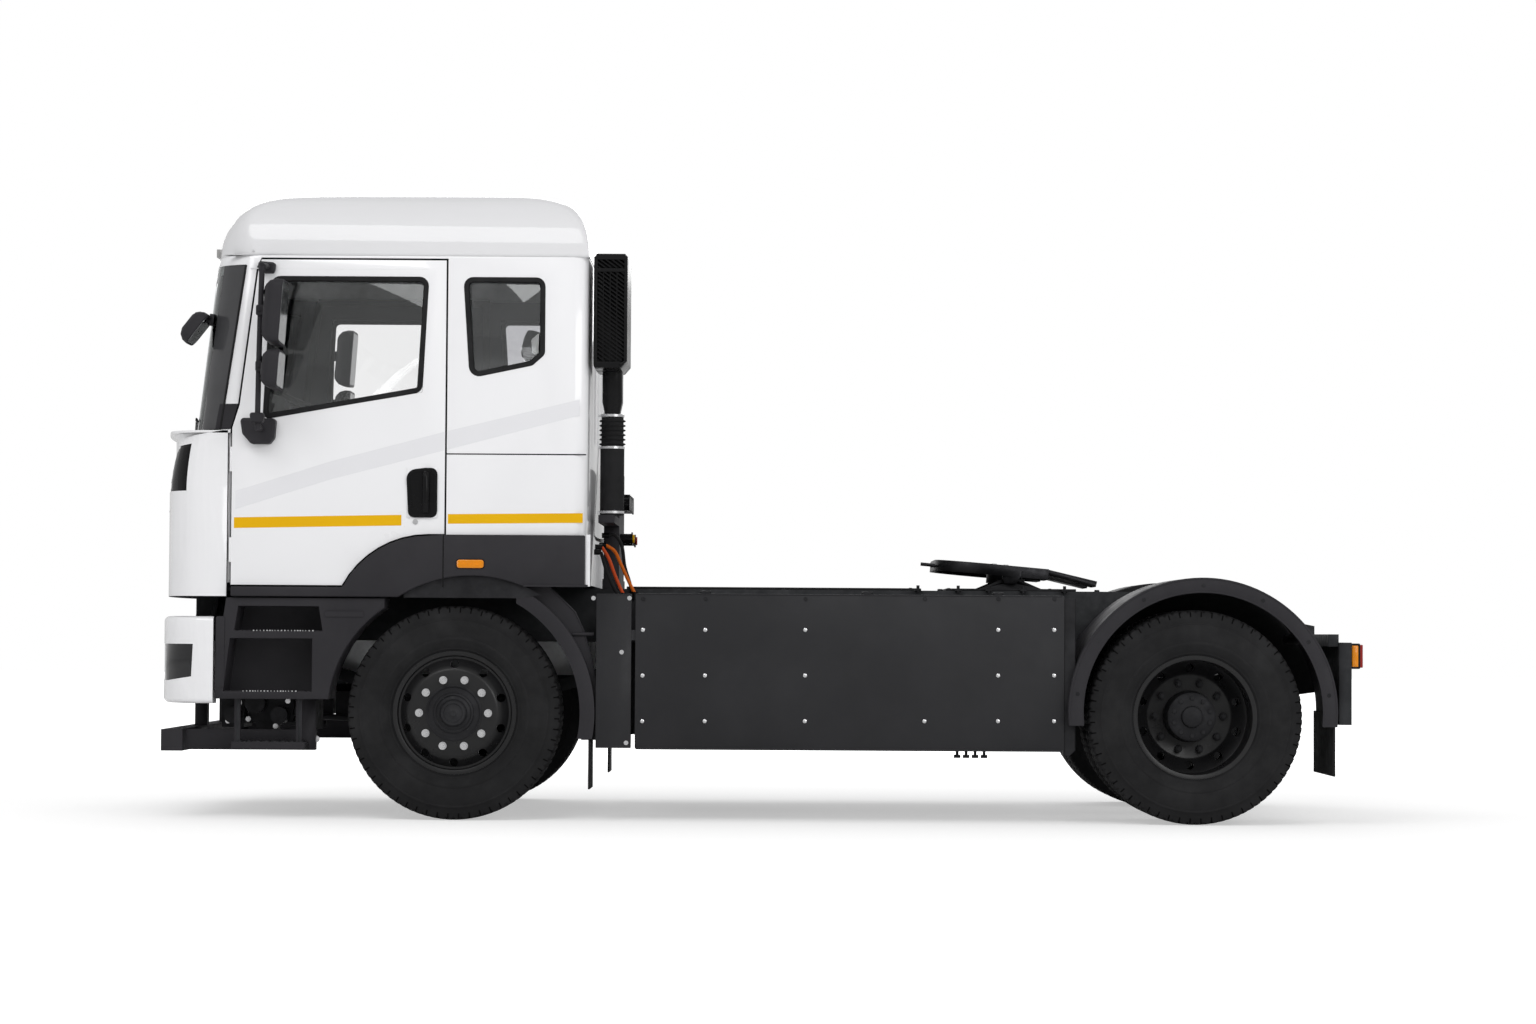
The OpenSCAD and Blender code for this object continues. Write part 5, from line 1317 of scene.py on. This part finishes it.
def mudguard_parts():
    low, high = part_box("rear_mudguards")
    radius = (high.x - low.x) / 2
    cx, cz = (high.x + low.x) / 2, high.z - radius
    start = math.degrees(math.asin(max(-1, (low.z - cz) / radius)))
    edge = Shape()
    for drawn_in, first, thick, sides in ((0.006, start, 0.0055, 10), (0.070, max(start, -20), 0.0045, 8)):
        path = arc_points(cx, cz, radius - drawn_in, first, 180 - first, 72)
        edge.pipe([(x, high.y - 0.003, z) for x, z in path], thick, sides)
    on_both(edge, "rear_mudguard_edge", TRIM, "chassis")
    screws = Shape()
    for a in (8, 34, 62, 90, 118, 146, 172):
        x = cx + (radius - 0.038) * math.cos(math.radians(a))
        z = cz + (radius - 0.038) * math.sin(math.radians(a))
        screws.bolt((x, high.y - 0.0005, z), (0, 1, 0), 0.012, 0.004, 0.02)
    on_both(screws, "mudguard_screws", DARK_CAST, "chassis")
    # The splash guard stands just inside the inner tyre
    tyre_side = REAR_Y - TWIN_HALF - 0.15
    ring = arc_points(cx, cz, radius - 0.004, 8, 172, 40) + arc_points(cx, cz, radius - 0.20, 172, 8, 40)
    guard = Shape()
    guard.slab(ring, tyre_side - 0.030, tyre_side - 0.026)
    on_both(guard, "splash_guard", RUBBER, "chassis", smooth=False)


mudguard_parts()


# The cab's inside and its underside take their own finish
def line_inside(name, middle, underside_below=1.16):
    """Faces that look at the middle of the cab are lined, faces that look down are dark, and the doorway's reveals take
    the lining's grey as painted shade.
    """
    data = nodes[name].data
    data.materials.append(LINING_AND_GAP_SHADE)
    data.materials.append(UNDERSIDE_AND_ARCH_SHADE)
    for face in data.polygons:
        c, n = face.center, face.normal
        if n.z < -0.7 and c.z < underside_below:
            face.material_index = 2
        elif n.dot(middle - c) > 0.25 and abs(c.y) < SKIN - 0.008:
            face.material_index = 1
        # Side faces of the doorway's reveals next to the skin take the lining's grey too: painted shade in the gap
        # round the door.
        elif abs(n.y) < 0.3 and abs(c.y) > SKIN - 0.09 and c.x > ahead(-600) and c.z < 2.744:
            face.material_index = 1


def lined():
    middle = Vector((ahead(350), 0, 2.0))
    for name in ("cab_shell", "front_panel"):
        line_inside(name, middle)
    for name, s in (("door_left", 1), ("door_right", -1)):
        data = nodes[name].data
        data.materials.append(LINING_AND_GAP_SHADE)
        data.materials.append(BLACK)
        for face in data.polygons:
            c = face.center
            if abs(c.y) < SKIN - 0.006 and face.normal.y * s < 0.2:
                face.material_index = 1
            elif abs(c.y) > SKIN + 0.0003 and ahead(240) < c.x < ahead(80) or abs(c.y) > SKIN + 0.008:
                face.material_index = 2


lined()


# Roof
def table(points):
    def value(u):
        if u <= points[0][0]:
            return points[0][1]
        for (a, p), (b, q) in zip(points, points[1:]):
            if u <= b:
                t = (u - a) / (b - a)
                return p + (q - p) * t
        return points[-1][1]
    return value


def smooth_table(points, reach):
    rough = table(points)

    def value(u):
        r = min(reach, u * 0.5)
        return sum(rough(u + r * k / 3) for k in range(-3, 4)) / 7 if r > 0 else rough(u)
    return value


def roof():
    front_h = smooth_table([(0, 0), (5, 46), (16, 94), (38, 142), (78, 192), (135, 238), (210, 274),
                            (300, 300), (420, 320), (640, 336), (1300, 350), (2000, 352)], 30)
    side_h = smooth_table([(0, 0), (4, 56), (11, 106), (26, 162), (52, 216), (90, 262), (140, 298),
                           (205, 322), (290, 337), (420, 345), (700, 350), (1200, 352)], 26)
    rear_h = smooth_table([(0, 0), (3, 52), (9, 100), (20, 150), (40, 202), (72, 248), (118, 288), (175, 316),
                           (250, 334), (400, 345), (700, 350), (1900, 352)], 26)
    rear_x = -641.0
    ns, nt = 72, 72

    def height(x, y):
        u = (max(skin_x(y, SEAM_Z) - x, 0.0), max(HALF_W - abs(y), 0.0), max(x - rear_x, 0.0))
        low = min(u)
        k = 0.9 * low + 1e-6
        m = u[0]
        for other in u[1:]:
            h = max(k - abs(m - other), 0) / k
            m = min(m, other) - h * h * k / 4
        m = max(m, 0)
        w = [1 / (v + 6) ** 3 for v in u]
        return sum(a * f(m) for a, f in zip(w, (front_h, side_h, rear_h))) / sum(w)

    verts = []
    for layer in (0, 1):
        drawn_in = 34.0 * layer
        for i in range(ns + 1):
            s = 0.5 - 0.5 * math.cos(math.pi * i / ns)
            for j in range(nt + 1):
                y = HALF_W * -math.cos(math.pi * j / nt)
                x = rear_x + (skin_x(y, SEAM_Z) - rear_x) * s
                z = height(x, y)
                if layer:
                    x = rear_x + drawn_in + (x - rear_x) * (1 - 2 * drawn_in / 1900)
                    y *= 1 - drawn_in / HALF_W
                    z = max(z - drawn_in * (1 if z > drawn_in else z / drawn_in), 0)
                verts.append(metres(x, y, SEAM_Z - 0.5 + z))
    faces, slots = [], []
    row, layer_n = nt + 1, (ns + 1) * (nt + 1)
    for i in range(ns):
        for j in range(nt):
            a = i * row + j
            faces.append((a, a + row, a + row + 1, a + 1))
            slots.append(0)
            b = a + layer_n
            faces.append((b, b + 1, b + row + 1, b + row))
            slots.append(1)
    rim = list(range(row)) + [i * row + nt for i in range(1, ns + 1)]
    rim += [ns * row + j for j in range(nt - 1, -1, -1)] + [i * row for i in range(ns - 1, 0, -1)]
    for a, b in zip(rim, rim[1:] + rim[:1]):
        faces.append((a, b, b + layer_n, a + layer_n))
        slots.append(0)
    # The roof's outer faces take the darker white with painted shade.
    obj = mesh_object("roof", verts, faces, (ROOF_WHITE_SHADED, HEADLINER), "cab", stands_for=("cab_roof",))
    for face, slot in zip(obj.data.polygons, slots):
        face.material_index = slot
    weld(obj, 0.0001)
    vent = Shape()
    for x, y in ((500, 700), (500, -700)):
        vent.lathe([(0.0001, 0.006), (0.02, 0.005), (0.028, 0.0), (0.0001, 0.0)],
                   Matrix.Translation(metres(x, y, SEAM_Z + height(x, y) - 2.0)), 24)
    vent.object("roof_vents", TRIM, "cab")


roof()


# Soft seats
VOXEL, QUICK_VOXEL, CLOTH_FRAMES = 0.0088, 0.012, 20


def swell(obj, held, cap, pressure=4.0):
    """Blows a pad up as sewn cloth round foam; held says how firmly a point is sewn down."""
    mod = obj.modifiers.new("voxel", "REMESH")
    mod.mode = "VOXEL"
    mod.voxel_size = VOXEL
    mod.use_smooth_shade = True
    apply_modifiers(obj)
    rest = [v.co.copy() for v in obj.data.vertices]
    group = obj.vertex_groups.new(name="sewn")
    for v in obj.data.vertices:
        group.add([v.index], held(v.co), "REPLACE")
    cloth_mod = obj.modifiers.new("cloth", "CLOTH")
    s = cloth_mod.settings
    s.quality = 4
    s.mass = 0.25
    s.tension_stiffness = s.compression_stiffness = 22
    s.bending_stiffness = 0.6
    s.use_pressure = True
    s.uniform_pressure_force = pressure
    s.vertex_group_mass = "sewn"
    s.effector_weights.gravity = 0
    cloth_mod.point_cache.frame_start, cloth_mod.point_cache.frame_end = 1, CLOTH_FRAMES
    for step in range(1, CLOTH_FRAMES + 1):
        bpy.context.scene.frame_set(step)
    graph = bpy.context.evaluated_depsgraph_get()
    moved = [v.co.copy() for v in obj.evaluated_get(graph).data.vertices]
    obj.modifiers.clear()
    obj.vertex_groups.clear()
    bpy.context.scene.frame_set(1)
    for v, start, end in zip(obj.data.vertices, rest, moved):
        step = end - start
        v.co = start + step * min(1.0, cap / max(step.length, 1e-9))
    smooth_faces(obj.data)
    return obj


def pad_mesh(size, taper):
    """A crowned block whose sides pull in, slightly smaller than the pad."""
    n = 14
    sx, sy, sz = size
    verts, faces, index = [], [], {}

    def point(a, b, c):
        key = (round(a, 5), round(b, 5), round(c, 5))
        if key not in index:
            x, y, z = (2 * v - 1 for v in (a, b, c))
            r = 0.86
            ex = x * math.sqrt(1 - (1 - r) * (y * y + z * z) / 1.6)
            ey = y * math.sqrt(1 - (1 - r) * (x * x + z * z) / 1.6)
            ez = z * math.sqrt(1 - (1 - r) * (x * x + y * y) / 1.3)
            pull = 1 - taper * (1 - y * y) * abs(x) ** 4
            index[key] = len(verts)
            side_pull = 1 - taper * (1 - x * x) * abs(y) ** 4
            verts.append((ex * sx / 2 * pull, ey * sy / 2 * side_pull, ez * sz / 2))
        return index[key]

    for axis in range(3):
        for end in (0.0, 1.0):
            for i in range(n):
                for j in range(n):
                    quad = []
                    for di, dj in ((0, 0), (1, 0), (1, 1), (0, 1)):
                        uv = [(i + di) / n, (j + dj) / n]
                        uv.insert(axis, end)
                        quad.append(point(*uv))
                    faces.append(tuple(quad if end else quad[::-1]) if axis != 1 else
                                 tuple(quad[::-1] if end else quad))
    return verts, faces


def sewn_lines(lines, reach=0.011):
    """How firmly a pad is sewn down: along its channels, and all over its flat underside."""
    def held(co):
        best = 0.0
        for axis, at, low, high in lines:
            other = co[1 - axis]
            if low <= other <= high and co.z > 0:
                best = max(best, 1 - abs(co[axis] - at) / reach)
        if co.z < -0.03:
            best = max(best, 0.55)
        return min(max(best, 0.0), 1.0)
    return held


PADS = (
    ("cushion", (0.47, 0.47, 0.112), 0.024,
     [(1, -0.165, -0.22, 0.25), (1, 0.165, -0.22, 0.25), (0, -0.02, -0.165, 0.165),
      (0, 0.12, -0.165, 0.165)]),
    ("backrest", (0.75, 0.45, 0.096), 0.024,
     [(1, -0.155, -0.36, 0.36), (1, 0.155, -0.36, 0.36), (0, -0.12, -0.155, 0.155), (0, 0.08, -0.155, 0.155),
      (0, 0.26, -0.155, 0.155)]),
    ("headrest", (0.155, 0.25, 0.076), 0.014, []),
)
SEAT_Y = 0.56


def seat_back(y):
    """Foot of a seat's back, leant backward."""
    return Matrix.Translation((ahead(-80), y, 1.5)) @ Matrix.Rotation(math.radians(-12), 4, "Y")


def pad_place(kind, y):
    if kind == "cushion":
        return Matrix.Translation((ahead(170), y, 1.572))
    back, up = (-0.066, 0.39) if kind == "backrest" else (-0.06, 0.89)
    upright = Matrix.Rotation(math.radians(90), 4, "Y") @ Matrix.Rotation(math.pi, 4, "Z")
    return seat_back(y) @ Matrix.Translation((back, 0, up)) @ upright


def seats():
    pads = []
    for kind, size, cap, lines in PADS:
        verts, faces = pad_mesh(size, 0.06)
        data = bpy.data.meshes.new("seat_" + kind)
        data.from_pydata(verts, [], faces)
        data.update()
        data.materials.append(SEAT)
        obj = link_object("seat_" + kind + "_right", data)
        swell(obj, sewn_lines(lines), cap)
        pads.append((kind, obj))
    # The left seat has copies of the right one's pads
    made = [(kind, -SEAT_Y, obj) for kind, obj in pads]
    made += [(kind, SEAT_Y, link_object("seat_" + kind + "_left", obj.data.copy())) for kind, obj in pads]
    for kind, y, piece in made:
        piece.data.transform(pad_place(kind, y))
        soft = piece.modifiers.new("soft", "SUBSURF")
        soft.levels = soft.render_levels = 1
        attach(piece, "cab")
        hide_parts("seat_cushions")
    posts = Shape()
    for y in (-SEAT_Y, SEAT_Y):
        for s in (-0.07, 0.07):
            foot, top = (seat_back(y) @ Vector((-0.06, s, z)) for z in (0.74, 0.83))
            posts.rod(foot, top, 0.006, 16)
    posts.object("headrest_posts", STEEL, "cab")


seats()


# The front panel and grille lean back towards the windscreen
def lean_back(x, y, z):
    forward = max(x - 1110, 0) / 412
    up = max(z - 1596, 0) / 280
    return x - 62 * up ** 1.8 * forward, y, z + up * (18 - 58 * forward)


BUMPER_LOW, BUMPER_HIGH, BUMPER_X, BUMPER_ROLL = 562, 985, 1540, 25


def roll_edges(x, y, z):
    """The bumper's outer skin curls inward at its upper and its lower edge."""
    depth = min(z - BUMPER_LOW, BUMPER_HIGH - z)
    corner_x, corner_y = BUMPER_X - CORNER_BACK, HALF_W - CORNER_R
    if abs(y) > corner_y:
        out, reach = Vector((max(x - corner_x, 0), abs(y) - corner_y)), CORNER_R
    else:
        out, reach = Vector((x - BUMPER_X + NOSE_R, abs(y))), NOSE_R
    if depth >= BUMPER_ROLL or out.length < reach - 3:
        return x, y, z
    inward = BUMPER_ROLL - math.sqrt(BUMPER_ROLL ** 2 - (BUMPER_ROLL - max(depth, 0)) ** 2)
    away = out.normalized()
    return x - away.x * inward, y - math.copysign(away.y * inward, y), z


def reshape_front(node, material, body, levels, bend, edge):
    """A CAD node's copy, cut at these levels and bent; faces towards the cab take a second material."""
    work = bmesh.new()
    work.from_mesh(nodes[node].data)
    for z in levels:
        everything = work.verts[:] + work.edges[:] + work.faces[:]
        bmesh.ops.bisect_plane(work, geom=everything, plane_co=(0, 0, z / 1000), plane_no=(0, 0, 1))
    data = bpy.data.meshes.new(node + "_formed")
    for v in work.verts:
        x, y, z = bend((v.co.x - ahead(0)) * 1000, v.co.y * 1000, v.co.z * 1000)
        v.co = (ahead(x), y / 1000, z / 1000)
    work.to_mesh(data)
    work.free()
    obj = link_object(node + "_formed", data)
    for item in material:
        data.materials.append(item)
    smooth_faces(data)
    for face in data.polygons:
        if len(material) > 1 and face.normal.dot(Vector((ahead(300), 0, 1.5)) - face.center) > 0.2:
            face.material_index = 1
    weld(obj)
    edge_round(obj, edge, 3)
    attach(obj, body)
    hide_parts(node)


LEAN_LEVELS = range(1600, 1876, 22)
BUMPER_LEVELS = [z for d in (1, 4, 8, 13, 19, 25) for z in (BUMPER_LOW + d, BUMPER_HIGH - d)]
reshape_front("front_panel", (WHITE, LINING_AND_GAP_SHADE), "cab", LEAN_LEVELS, lean_back, 0.007)
reshape_front("grille", (BLACK,), "cab", LEAN_LEVELS, lean_back, 0.002)
reshape_front("bumper", (WHITE,), "chassis", BUMPER_LEVELS, roll_edges, 0.002)


def behind_front():
    """Dark strips behind the slots of the front as painted shade inside them, the cowl under the windscreen and a mesh
    in the bumper.
    """
    # The black strips behind the grille and the slots are painted shade for the hollow seen through them.
    strips = (("grille_shade_strip", BLACK, 1600, 1815, -62, False, 1040),
              ("slot_shade_strip", BLACK, 1120, 1400, -40, False, 900),
              ("cowl", TRIM, 1842, 1893, -4, True, 1075))
    for name, material, z0, z1, back, upper, reach in strips:
        strip = Shape()
        skin_strip(strip, z0, z1, -reach, reach, back, 5.0, upper, 40)
        strip.object(name, material, "cab")
    mesh = Shape()
    reach = 430
    for back in (-70, -74):
        verts = []
        for z in (600, 770):
            for i in range(13):
                y = -reach + 2 * reach * i / 12
                verts.append(metres(skin_x(y, z, back, False) + 18, y, z))
        mesh.add(verts, [(i, i + 1, i + 14, i + 13) for i in range(12)])
    mesh.object("bumper_backing", BLACK, "chassis")


behind_front()


# High-voltage harness and hoses behind the cab, held at both ends
EYE_AHEAD, EYE_Y, EYE_Z = -1520.6, 18.2, 0.911
EYE_TO_SIDE = 17.0


def harness():
    def at(px, py, y):
        """A point that the picture shows at this pixel, at this depth."""
        x, z = px_point(px, py)
        far = (EYE_Y - y) / EYE_TO_SIDE
        return Vector((ahead(EYE_AHEAD) + (x - ahead(EYE_AHEAD)) * far, y, EYE_Z + (z - EYE_Z) * far))

    def smooth_path(points, steps=7):
        path = []
        pts = [points[0] * 2 - points[1]] + points + [points[-1] * 2 - points[-2]]
        for a, b, c, d in zip(pts, pts[1:], pts[2:], pts[3:]):
            for k in range(steps):
                t = k / steps
                path.append(0.5 * (2 * b + (c - a) * t + (2 * a - 5 * b + 4 * c - d) * t * t +
                                   (3 * b - a - 3 * c + d) * t ** 3))
        path.append(points[-1])
        return path

    runs = (("cable_dark_outer", RUBBER, 0.44, ((608.6, 535.4), (615, 535), (622, 546), (625, 566),
                                                (630, 582), (633, 594))),
            ("cable_orange_outer", CABLE_ORANGE, 0.50, ((606, 545), (615, 551.5), (622, 566), (629, 581),
                                                        (635.5, 594))),
            ("cable_orange_inner", CABLE_RED, 0.56, ((602, 547), (609, 558.5), (616, 577), (624, 595))),
            ("cable_dark_inner", RUBBER, 0.60, ((601, 552), (608, 574), (618, 595))))
    glands = Shape()
    for name, material, y, points in runs:
        cable = Shape()
        cable.pipe(smooth_path([at(px, py, y) for px, py in points]), 0.0088, 14)
        cable.object(name, material, "chassis")
        a, b = at(*points[0], y), at(*points[-1], y)
        glands.rod(a + Vector((0.034, 0, 0)), a - Vector((0.002, 0, 0)), 0.014, 18)
        glands.rod(b + Vector((0, 0, 0.012)), b - Vector((0, 0, 0.03)), 0.014, 18)
    glands.object("cable_glands", BLACK, "chassis")


harness()


# A rubber seal around each doorway, on the cab, behind the edge of the door
def doorway_seal():
    outline = side_points([(1089, 1139), (1089, 1902), (1054, 2016), (969, 2685), (955, 2725), (53, 2725),
                           (53, 1391)])
    # The arch over the wheel, from behind forward and down
    arch_x, arch_z, arch_r = 130, 917, 474
    arch = [(arch_x + arch_r * math.cos(math.radians(a)), arch_z + arch_r * math.sin(math.radians(a)))
            for a in (80, 70, 60, 50, 40, 30)]
    ring = outline + side_points(arch + [(600, 1139)])
    outer, middle, inner = inset(ring, -0.028), inset(ring, -0.008), inset(ring, 0.012)
    y0, y1, y2 = 1.122, 1.1365, 1.1395
    layers = [(outer, y1), (middle, y2), (inner, y1), (inner, y0 + 0.004), (middle, y0), (outer, y0 + 0.004)]
    seal = Shape()
    seal.add([(x, y, z) for points, y in layers for x, z in points], ring_faces(len(layers), len(ring), True))
    on_both(seal, "doorway_seal", RUBBER, "cab")


doorway_seal()


# Near-black marks in the notches along the shoulders of the outer tyres: painted shade in the notches
def shoulder_notch_shade():
    line = [p for p in tyre_profile() if p[0] > WHEEL_R - 0.06]

    def surface(r):
        for (r0, z0), (r1, z1) in zip(line, line[1:]):
            if r0 <= r <= r1:
                return z0 + (z1 - z0) * (r - r0) / (r1 - r0)
        return line[-1][1]

    reach = [WHEEL_R - 0.034 + 0.026 * k / 5 for k in range(6)]
    faces = [(2 * k, 2 * k + 2, 2 * k + 3, 2 * k + 1) for k in range(5)]
    faces += [(2 * k + 12, 2 * k + 13, 2 * k + 15, 2 * k + 14) for k in range(5)]
    faces += [(2 * k, 2 * k + 12, 2 * k + 14, 2 * k + 2) for k in range(5)]
    faces += [(2 * k + 1, 2 * k + 3, 2 * k + 15, 2 * k + 13) for k in range(5)]
    faces += [(0, 1, 13, 12), (10, 22, 23, 11)]
    for word, side in (("left", 1), ("right", -1)):
        rear = axle_place(REAR_X, side * REAR_Y) @ Matrix.Translation((0, 0, TWIN_HALF))
        for place, body in ((axle_place(FRONT_X, side * FRONT_Y), "wheel_front_" + word),
                            (rear, "wheels_rear_" + word)):
            marks = Shape()
            for i in range(60):
                turn = place @ Matrix.Rotation(2 * math.pi * (i + 0.5) / 60, 4, "Z")
                ring = [(r, t, surface(r) + 0.0007) for r in reach for t in (-0.003, 0.003)]
                ring += [(r, t, surface(r) - 0.004) for r in reach for t in (-0.003, 0.003)]
                marks.add([turn @ Vector(p) for p in ring], faces)
            marks.object("shoulder_notch_shade_" + body, NOTCH_SHADE, body)


shoulder_notch_shade()


# Dark plate in the wheel arch as painted shade, front mudguard's outer flange and its stay
def arch_parts():
    arch = Shape()
    centre_x, centre_z, r = -83, 539, 652
    outline = [(248, 1081), (-335, 1081)]
    for i in range(25):
        x = -420 + (760 * i / 24)
        z = centre_z + math.sqrt(max(r * r - (x - centre_x) ** 2, 0))
        if z > 1083:
            outline.append((x, z))
    # A flat dark plate fills the arch between the cab's lower edge and the arch line: painted shade inside the wheel
    # arch.
    arch.slab(side_points(outline), SKIN - 0.0105, SKIN + 0.0012)
    on_both(arch, "arch_shade_plate", UNDERSIDE_AND_ARCH_SHADE, "cab", smooth=False)
    outer = [(548, 586), (562, 599), (575, 612), (583, 629), (591.5, 656), (595.5, 680), (598.5, 715),
             (599, 740)]
    inner = [(583, 740), (582.5, 716), (580, 694), (573, 663), (561, 636), (545, 613), (527, 596), (519, 588)]
    flange = Shape()
    flange.slab([px_point(*p) for p in outer + inner], 1.136, 1.142)
    on_both(flange, "front_mudguard_flange", TRIM, "chassis", smooth=False)
    lip = Shape()
    for line in (inner, outer):
        lip.pipe([at_side(*p, 1.142) for p in line], 0.0045, 10)
    lip.rod(at_side(573, 634, 1.146), at_side(594, 634, 1.146), 0.009, 14)
    on_both(lip, "front_mudguard_lip", TRIM, "chassis")


arch_parts()


# Castings and fittings under the steps
def under_step_parts():
    lumps = Shape()
    for x0, x1, z0, z1, y0, y1 in ((1060, 1170, 440, 600, 0.62, 0.9), (820, 1040, 470, 610, 0.70, 0.88),
                                   (700, 800, 430, 590, 0.66, 0.9), (900, 1010, 420, 520, 0.74, 0.84)):
        lumps.box((ahead(x0), y0, z0 / 1000), (ahead(x1), y1, z1 / 1000))
    for x, z, r in ((1000, 560, 0.05), (880, 500, 0.042), (760, 520, 0.045), (1110, 500, 0.04)):
        lumps.rod((ahead(x), 0.86, z / 1000), (ahead(x), 0.965, z / 1000), r, 22)
    on_both(lumps, "towing_castings", DARK_CAST, "chassis")
    fixings = Shape()
    for x, z in ((1085, 560), (1140, 470), (960, 590), (845, 570), (720, 560), (790, 450), (905, 445),
                 (1040, 480)):
        fixings.bolt((ahead(x), 0.899, z / 1000), (0, 1, 0), 0.018, 0.012, 0.026)
    on_both(fixings, "casting_bolts", STEEL, "chassis")
    link = Shape()
    link.rod((ahead(690), 0.60, 0.449), (ahead(1060), 0.62, 0.47), 0.017, 18)
    on_both(link, "drag_link_rod", DARK_CAST, "chassis")


under_step_parts()


# Grab arc beside the windscreen's foot
def grab_arc():
    arc = Shape()
    path = []
    foot = skin_x(930, 1700, 0, False) - 50
    for forward, z in ((0, 1812), (6, 1850), (-22, 1878), (-62, 1892), (-92, 1888)):
        path.append((ahead(foot + forward), 0.93, z / 1000))
    arc.pipe(path, 0.0065, 12)
    on_both(arc, "grab_arc", TRIM, "cab")


grab_arc()


# Pressings and a grab rail on the cab's rear wall
def rear_wall_parts():
    ribs = Shape()
    x = ahead(-641)
    for y in (-0.86, -0.52, -0.18, 0.18, 0.52):
        outline = rounded([(y - 0.055, 1.86), (y - 0.055, 2.60), (y + 0.055, 2.60), (y + 0.055, 1.86)],
                          0.05, 6)
        n = len(outline)
        verts = [(x + 0.001, a, b) for a, b in outline]
        verts += [(x - 0.007, a, b) for a, b in inset(outline, 0.014)]
        ribs.add(verts, ring_faces(2, n) + [tuple(range(2 * n - 1, n - 1, -1))])
    ribs.object("rear_wall_ribs", WHITE, "cab")
    rail = Shape()
    rail.pipe([(x + out, -1.06, z) for out, z in ((0.002, 1.42), (-0.05, 1.43), (-0.058, 1.5), (-0.058, 1.9),
                                                  (-0.05, 1.97), (0.002, 1.98))], 0.011, 12)
    rail.object("rear_grab_rail", BLACK, "cab")


rear_wall_parts()


# Floor, light and camera
def seen_mix(tree, unseen, seen):
    """One shader for what the camera sees, straight or through glass, and another for all else."""
    rays = new_node(tree, "LightPath")
    either = new_node(tree, "Math")
    either.operation = "MAXIMUM"
    mix = new_node(tree, "MixShader")
    for source, target in ((rays.outputs["Is Camera Ray"], either.inputs[0]),
                           (rays.outputs["Is Transmission Ray"], either.inputs[1]),
                           (either.outputs[0], mix.inputs[0]), (unseen, mix.inputs[1]),
                           (seen, mix.inputs[2])):
        tree.links.new(source, target)
    return mix.outputs[0]


def backdrop_material():
    """White where the camera sees it, with the shadow that the object lays on it."""
    mat = bpy.data.materials.new("floor")
    mat.use_nodes = True
    tree = mat.node_tree
    tree.nodes.clear()
    out = new_node(tree, "OutputMaterial")
    diffuse = new_node(tree, "BsdfDiffuse", {"Color": (0.86, 0.86, 0.86, 1)})
    bright = new_node(tree, "BsdfDiffuse", {"Color": (0.66, 0.66, 0.66, 1)})
    glow = new_node(tree, "Emission", {"Color": (1, 1, 1, 1)})
    # The floor fades into plain white away from the object
    place = new_node(tree, "NewGeometry")
    length = new_node(tree, "VectorMath")
    length.operation = "LENGTH"
    fade = new_node(tree, "MapRange", {"From Min": 4.5, "From Max": 9.0, "To Min": 0.45, "To Max": 1.0})
    both = new_node(tree, "AddShader")
    for source, target in ((place.outputs["Position"], length.inputs[0]),
                           (length.outputs["Value"], fade.inputs["Value"]),
                           (fade.outputs["Result"], glow.inputs["Strength"]),
                           (bright.outputs[0], both.inputs[0]), (glow.outputs[0], both.inputs[1]),
                           (seen_mix(tree, diffuse.outputs[0], both.outputs[0]), out.inputs["Surface"])):
        tree.links.new(source, target)
    return mat


FLOOR_REACH = 60.0
floor_data = bpy.data.meshes.new("floor")
floor_data.from_pydata([(-FLOOR_REACH, -FLOOR_REACH, 0), (FLOOR_REACH, -FLOOR_REACH, 0),
                        (FLOOR_REACH, FLOOR_REACH, 0), (-FLOOR_REACH, FLOOR_REACH, 0)], [], [(0, 1, 2, 3)])
floor_data.update()
floor_data.materials.append(backdrop_material())
link_object("floor", floor_data)

world = bpy.data.worlds.new("studio")
bpy.context.scene.world = world
world.use_nodes = True
sky = world.node_tree
sky.nodes.clear()
world_out = new_node(sky, "OutputWorld")
light_sky = new_node(sky, "Background", {"Color": (1, 1, 1, 1), "Strength": 0.62})
seen_sky = new_node(sky, "Background", {"Color": (1, 1, 1, 1), "Strength": 1.0})
sky.links.new(seen_mix(sky, light_sky.outputs[0], seen_sky.outputs[0]), world_out.inputs["Surface"])


def area_light(name, at, to, size, power):
    data = bpy.data.lights.new(name, "AREA")
    data.shape = "RECTANGLE"
    data.size, data.size_y = size
    data.energy = power
    obj = link_object(name, data)
    obj.location = at
    obj.rotation_euler = (Vector(to) - Vector(at)).to_track_quat("-Z", "Y").to_euler()


area_light("key", (4.0, 9.0, 8.5), (0.2, 0.5, 1.2), (7.0, 4.0), 320)
area_light("fill", (-5.5, 9.5, 4.5), (-0.5, 0.8, 1.0), (6.0, 4.0), 235)
area_light("top", (0.0, 0.0, 9.0), (0.0, 0.0, 1.5), (8.0, 4.0), 15)
area_light("far_side", (0.5, -9.0, 6.0), (0.0, -0.5, 1.3), (9.0, 5.0), 330)

# The camera of the picture, which looks up by the pitch and leans by the roll, in degrees
EYE_X, PITCH, ROLL, LENS = -0.0806, 2.01, 0.35, 81.98
camera_data = bpy.data.cameras.new("camera")
camera_data.sensor_width = 36.0
camera_data.lens = LENS
camera_data.clip_end = 200.0
camera = link_object("camera", camera_data)
camera.location = (EYE_X, EYE_Y, EYE_Z)
look = Matrix.Rotation(math.pi, 4, "Z") @ Matrix.Rotation(math.pi / 2 + math.radians(PITCH), 4, "X")
camera.rotation_euler = (look @ Matrix.Rotation(math.radians(ROLL), 4, "Z")).to_euler()
bpy.context.scene.camera = camera
bpy.context.scene.view_settings.view_transform = "Standard"
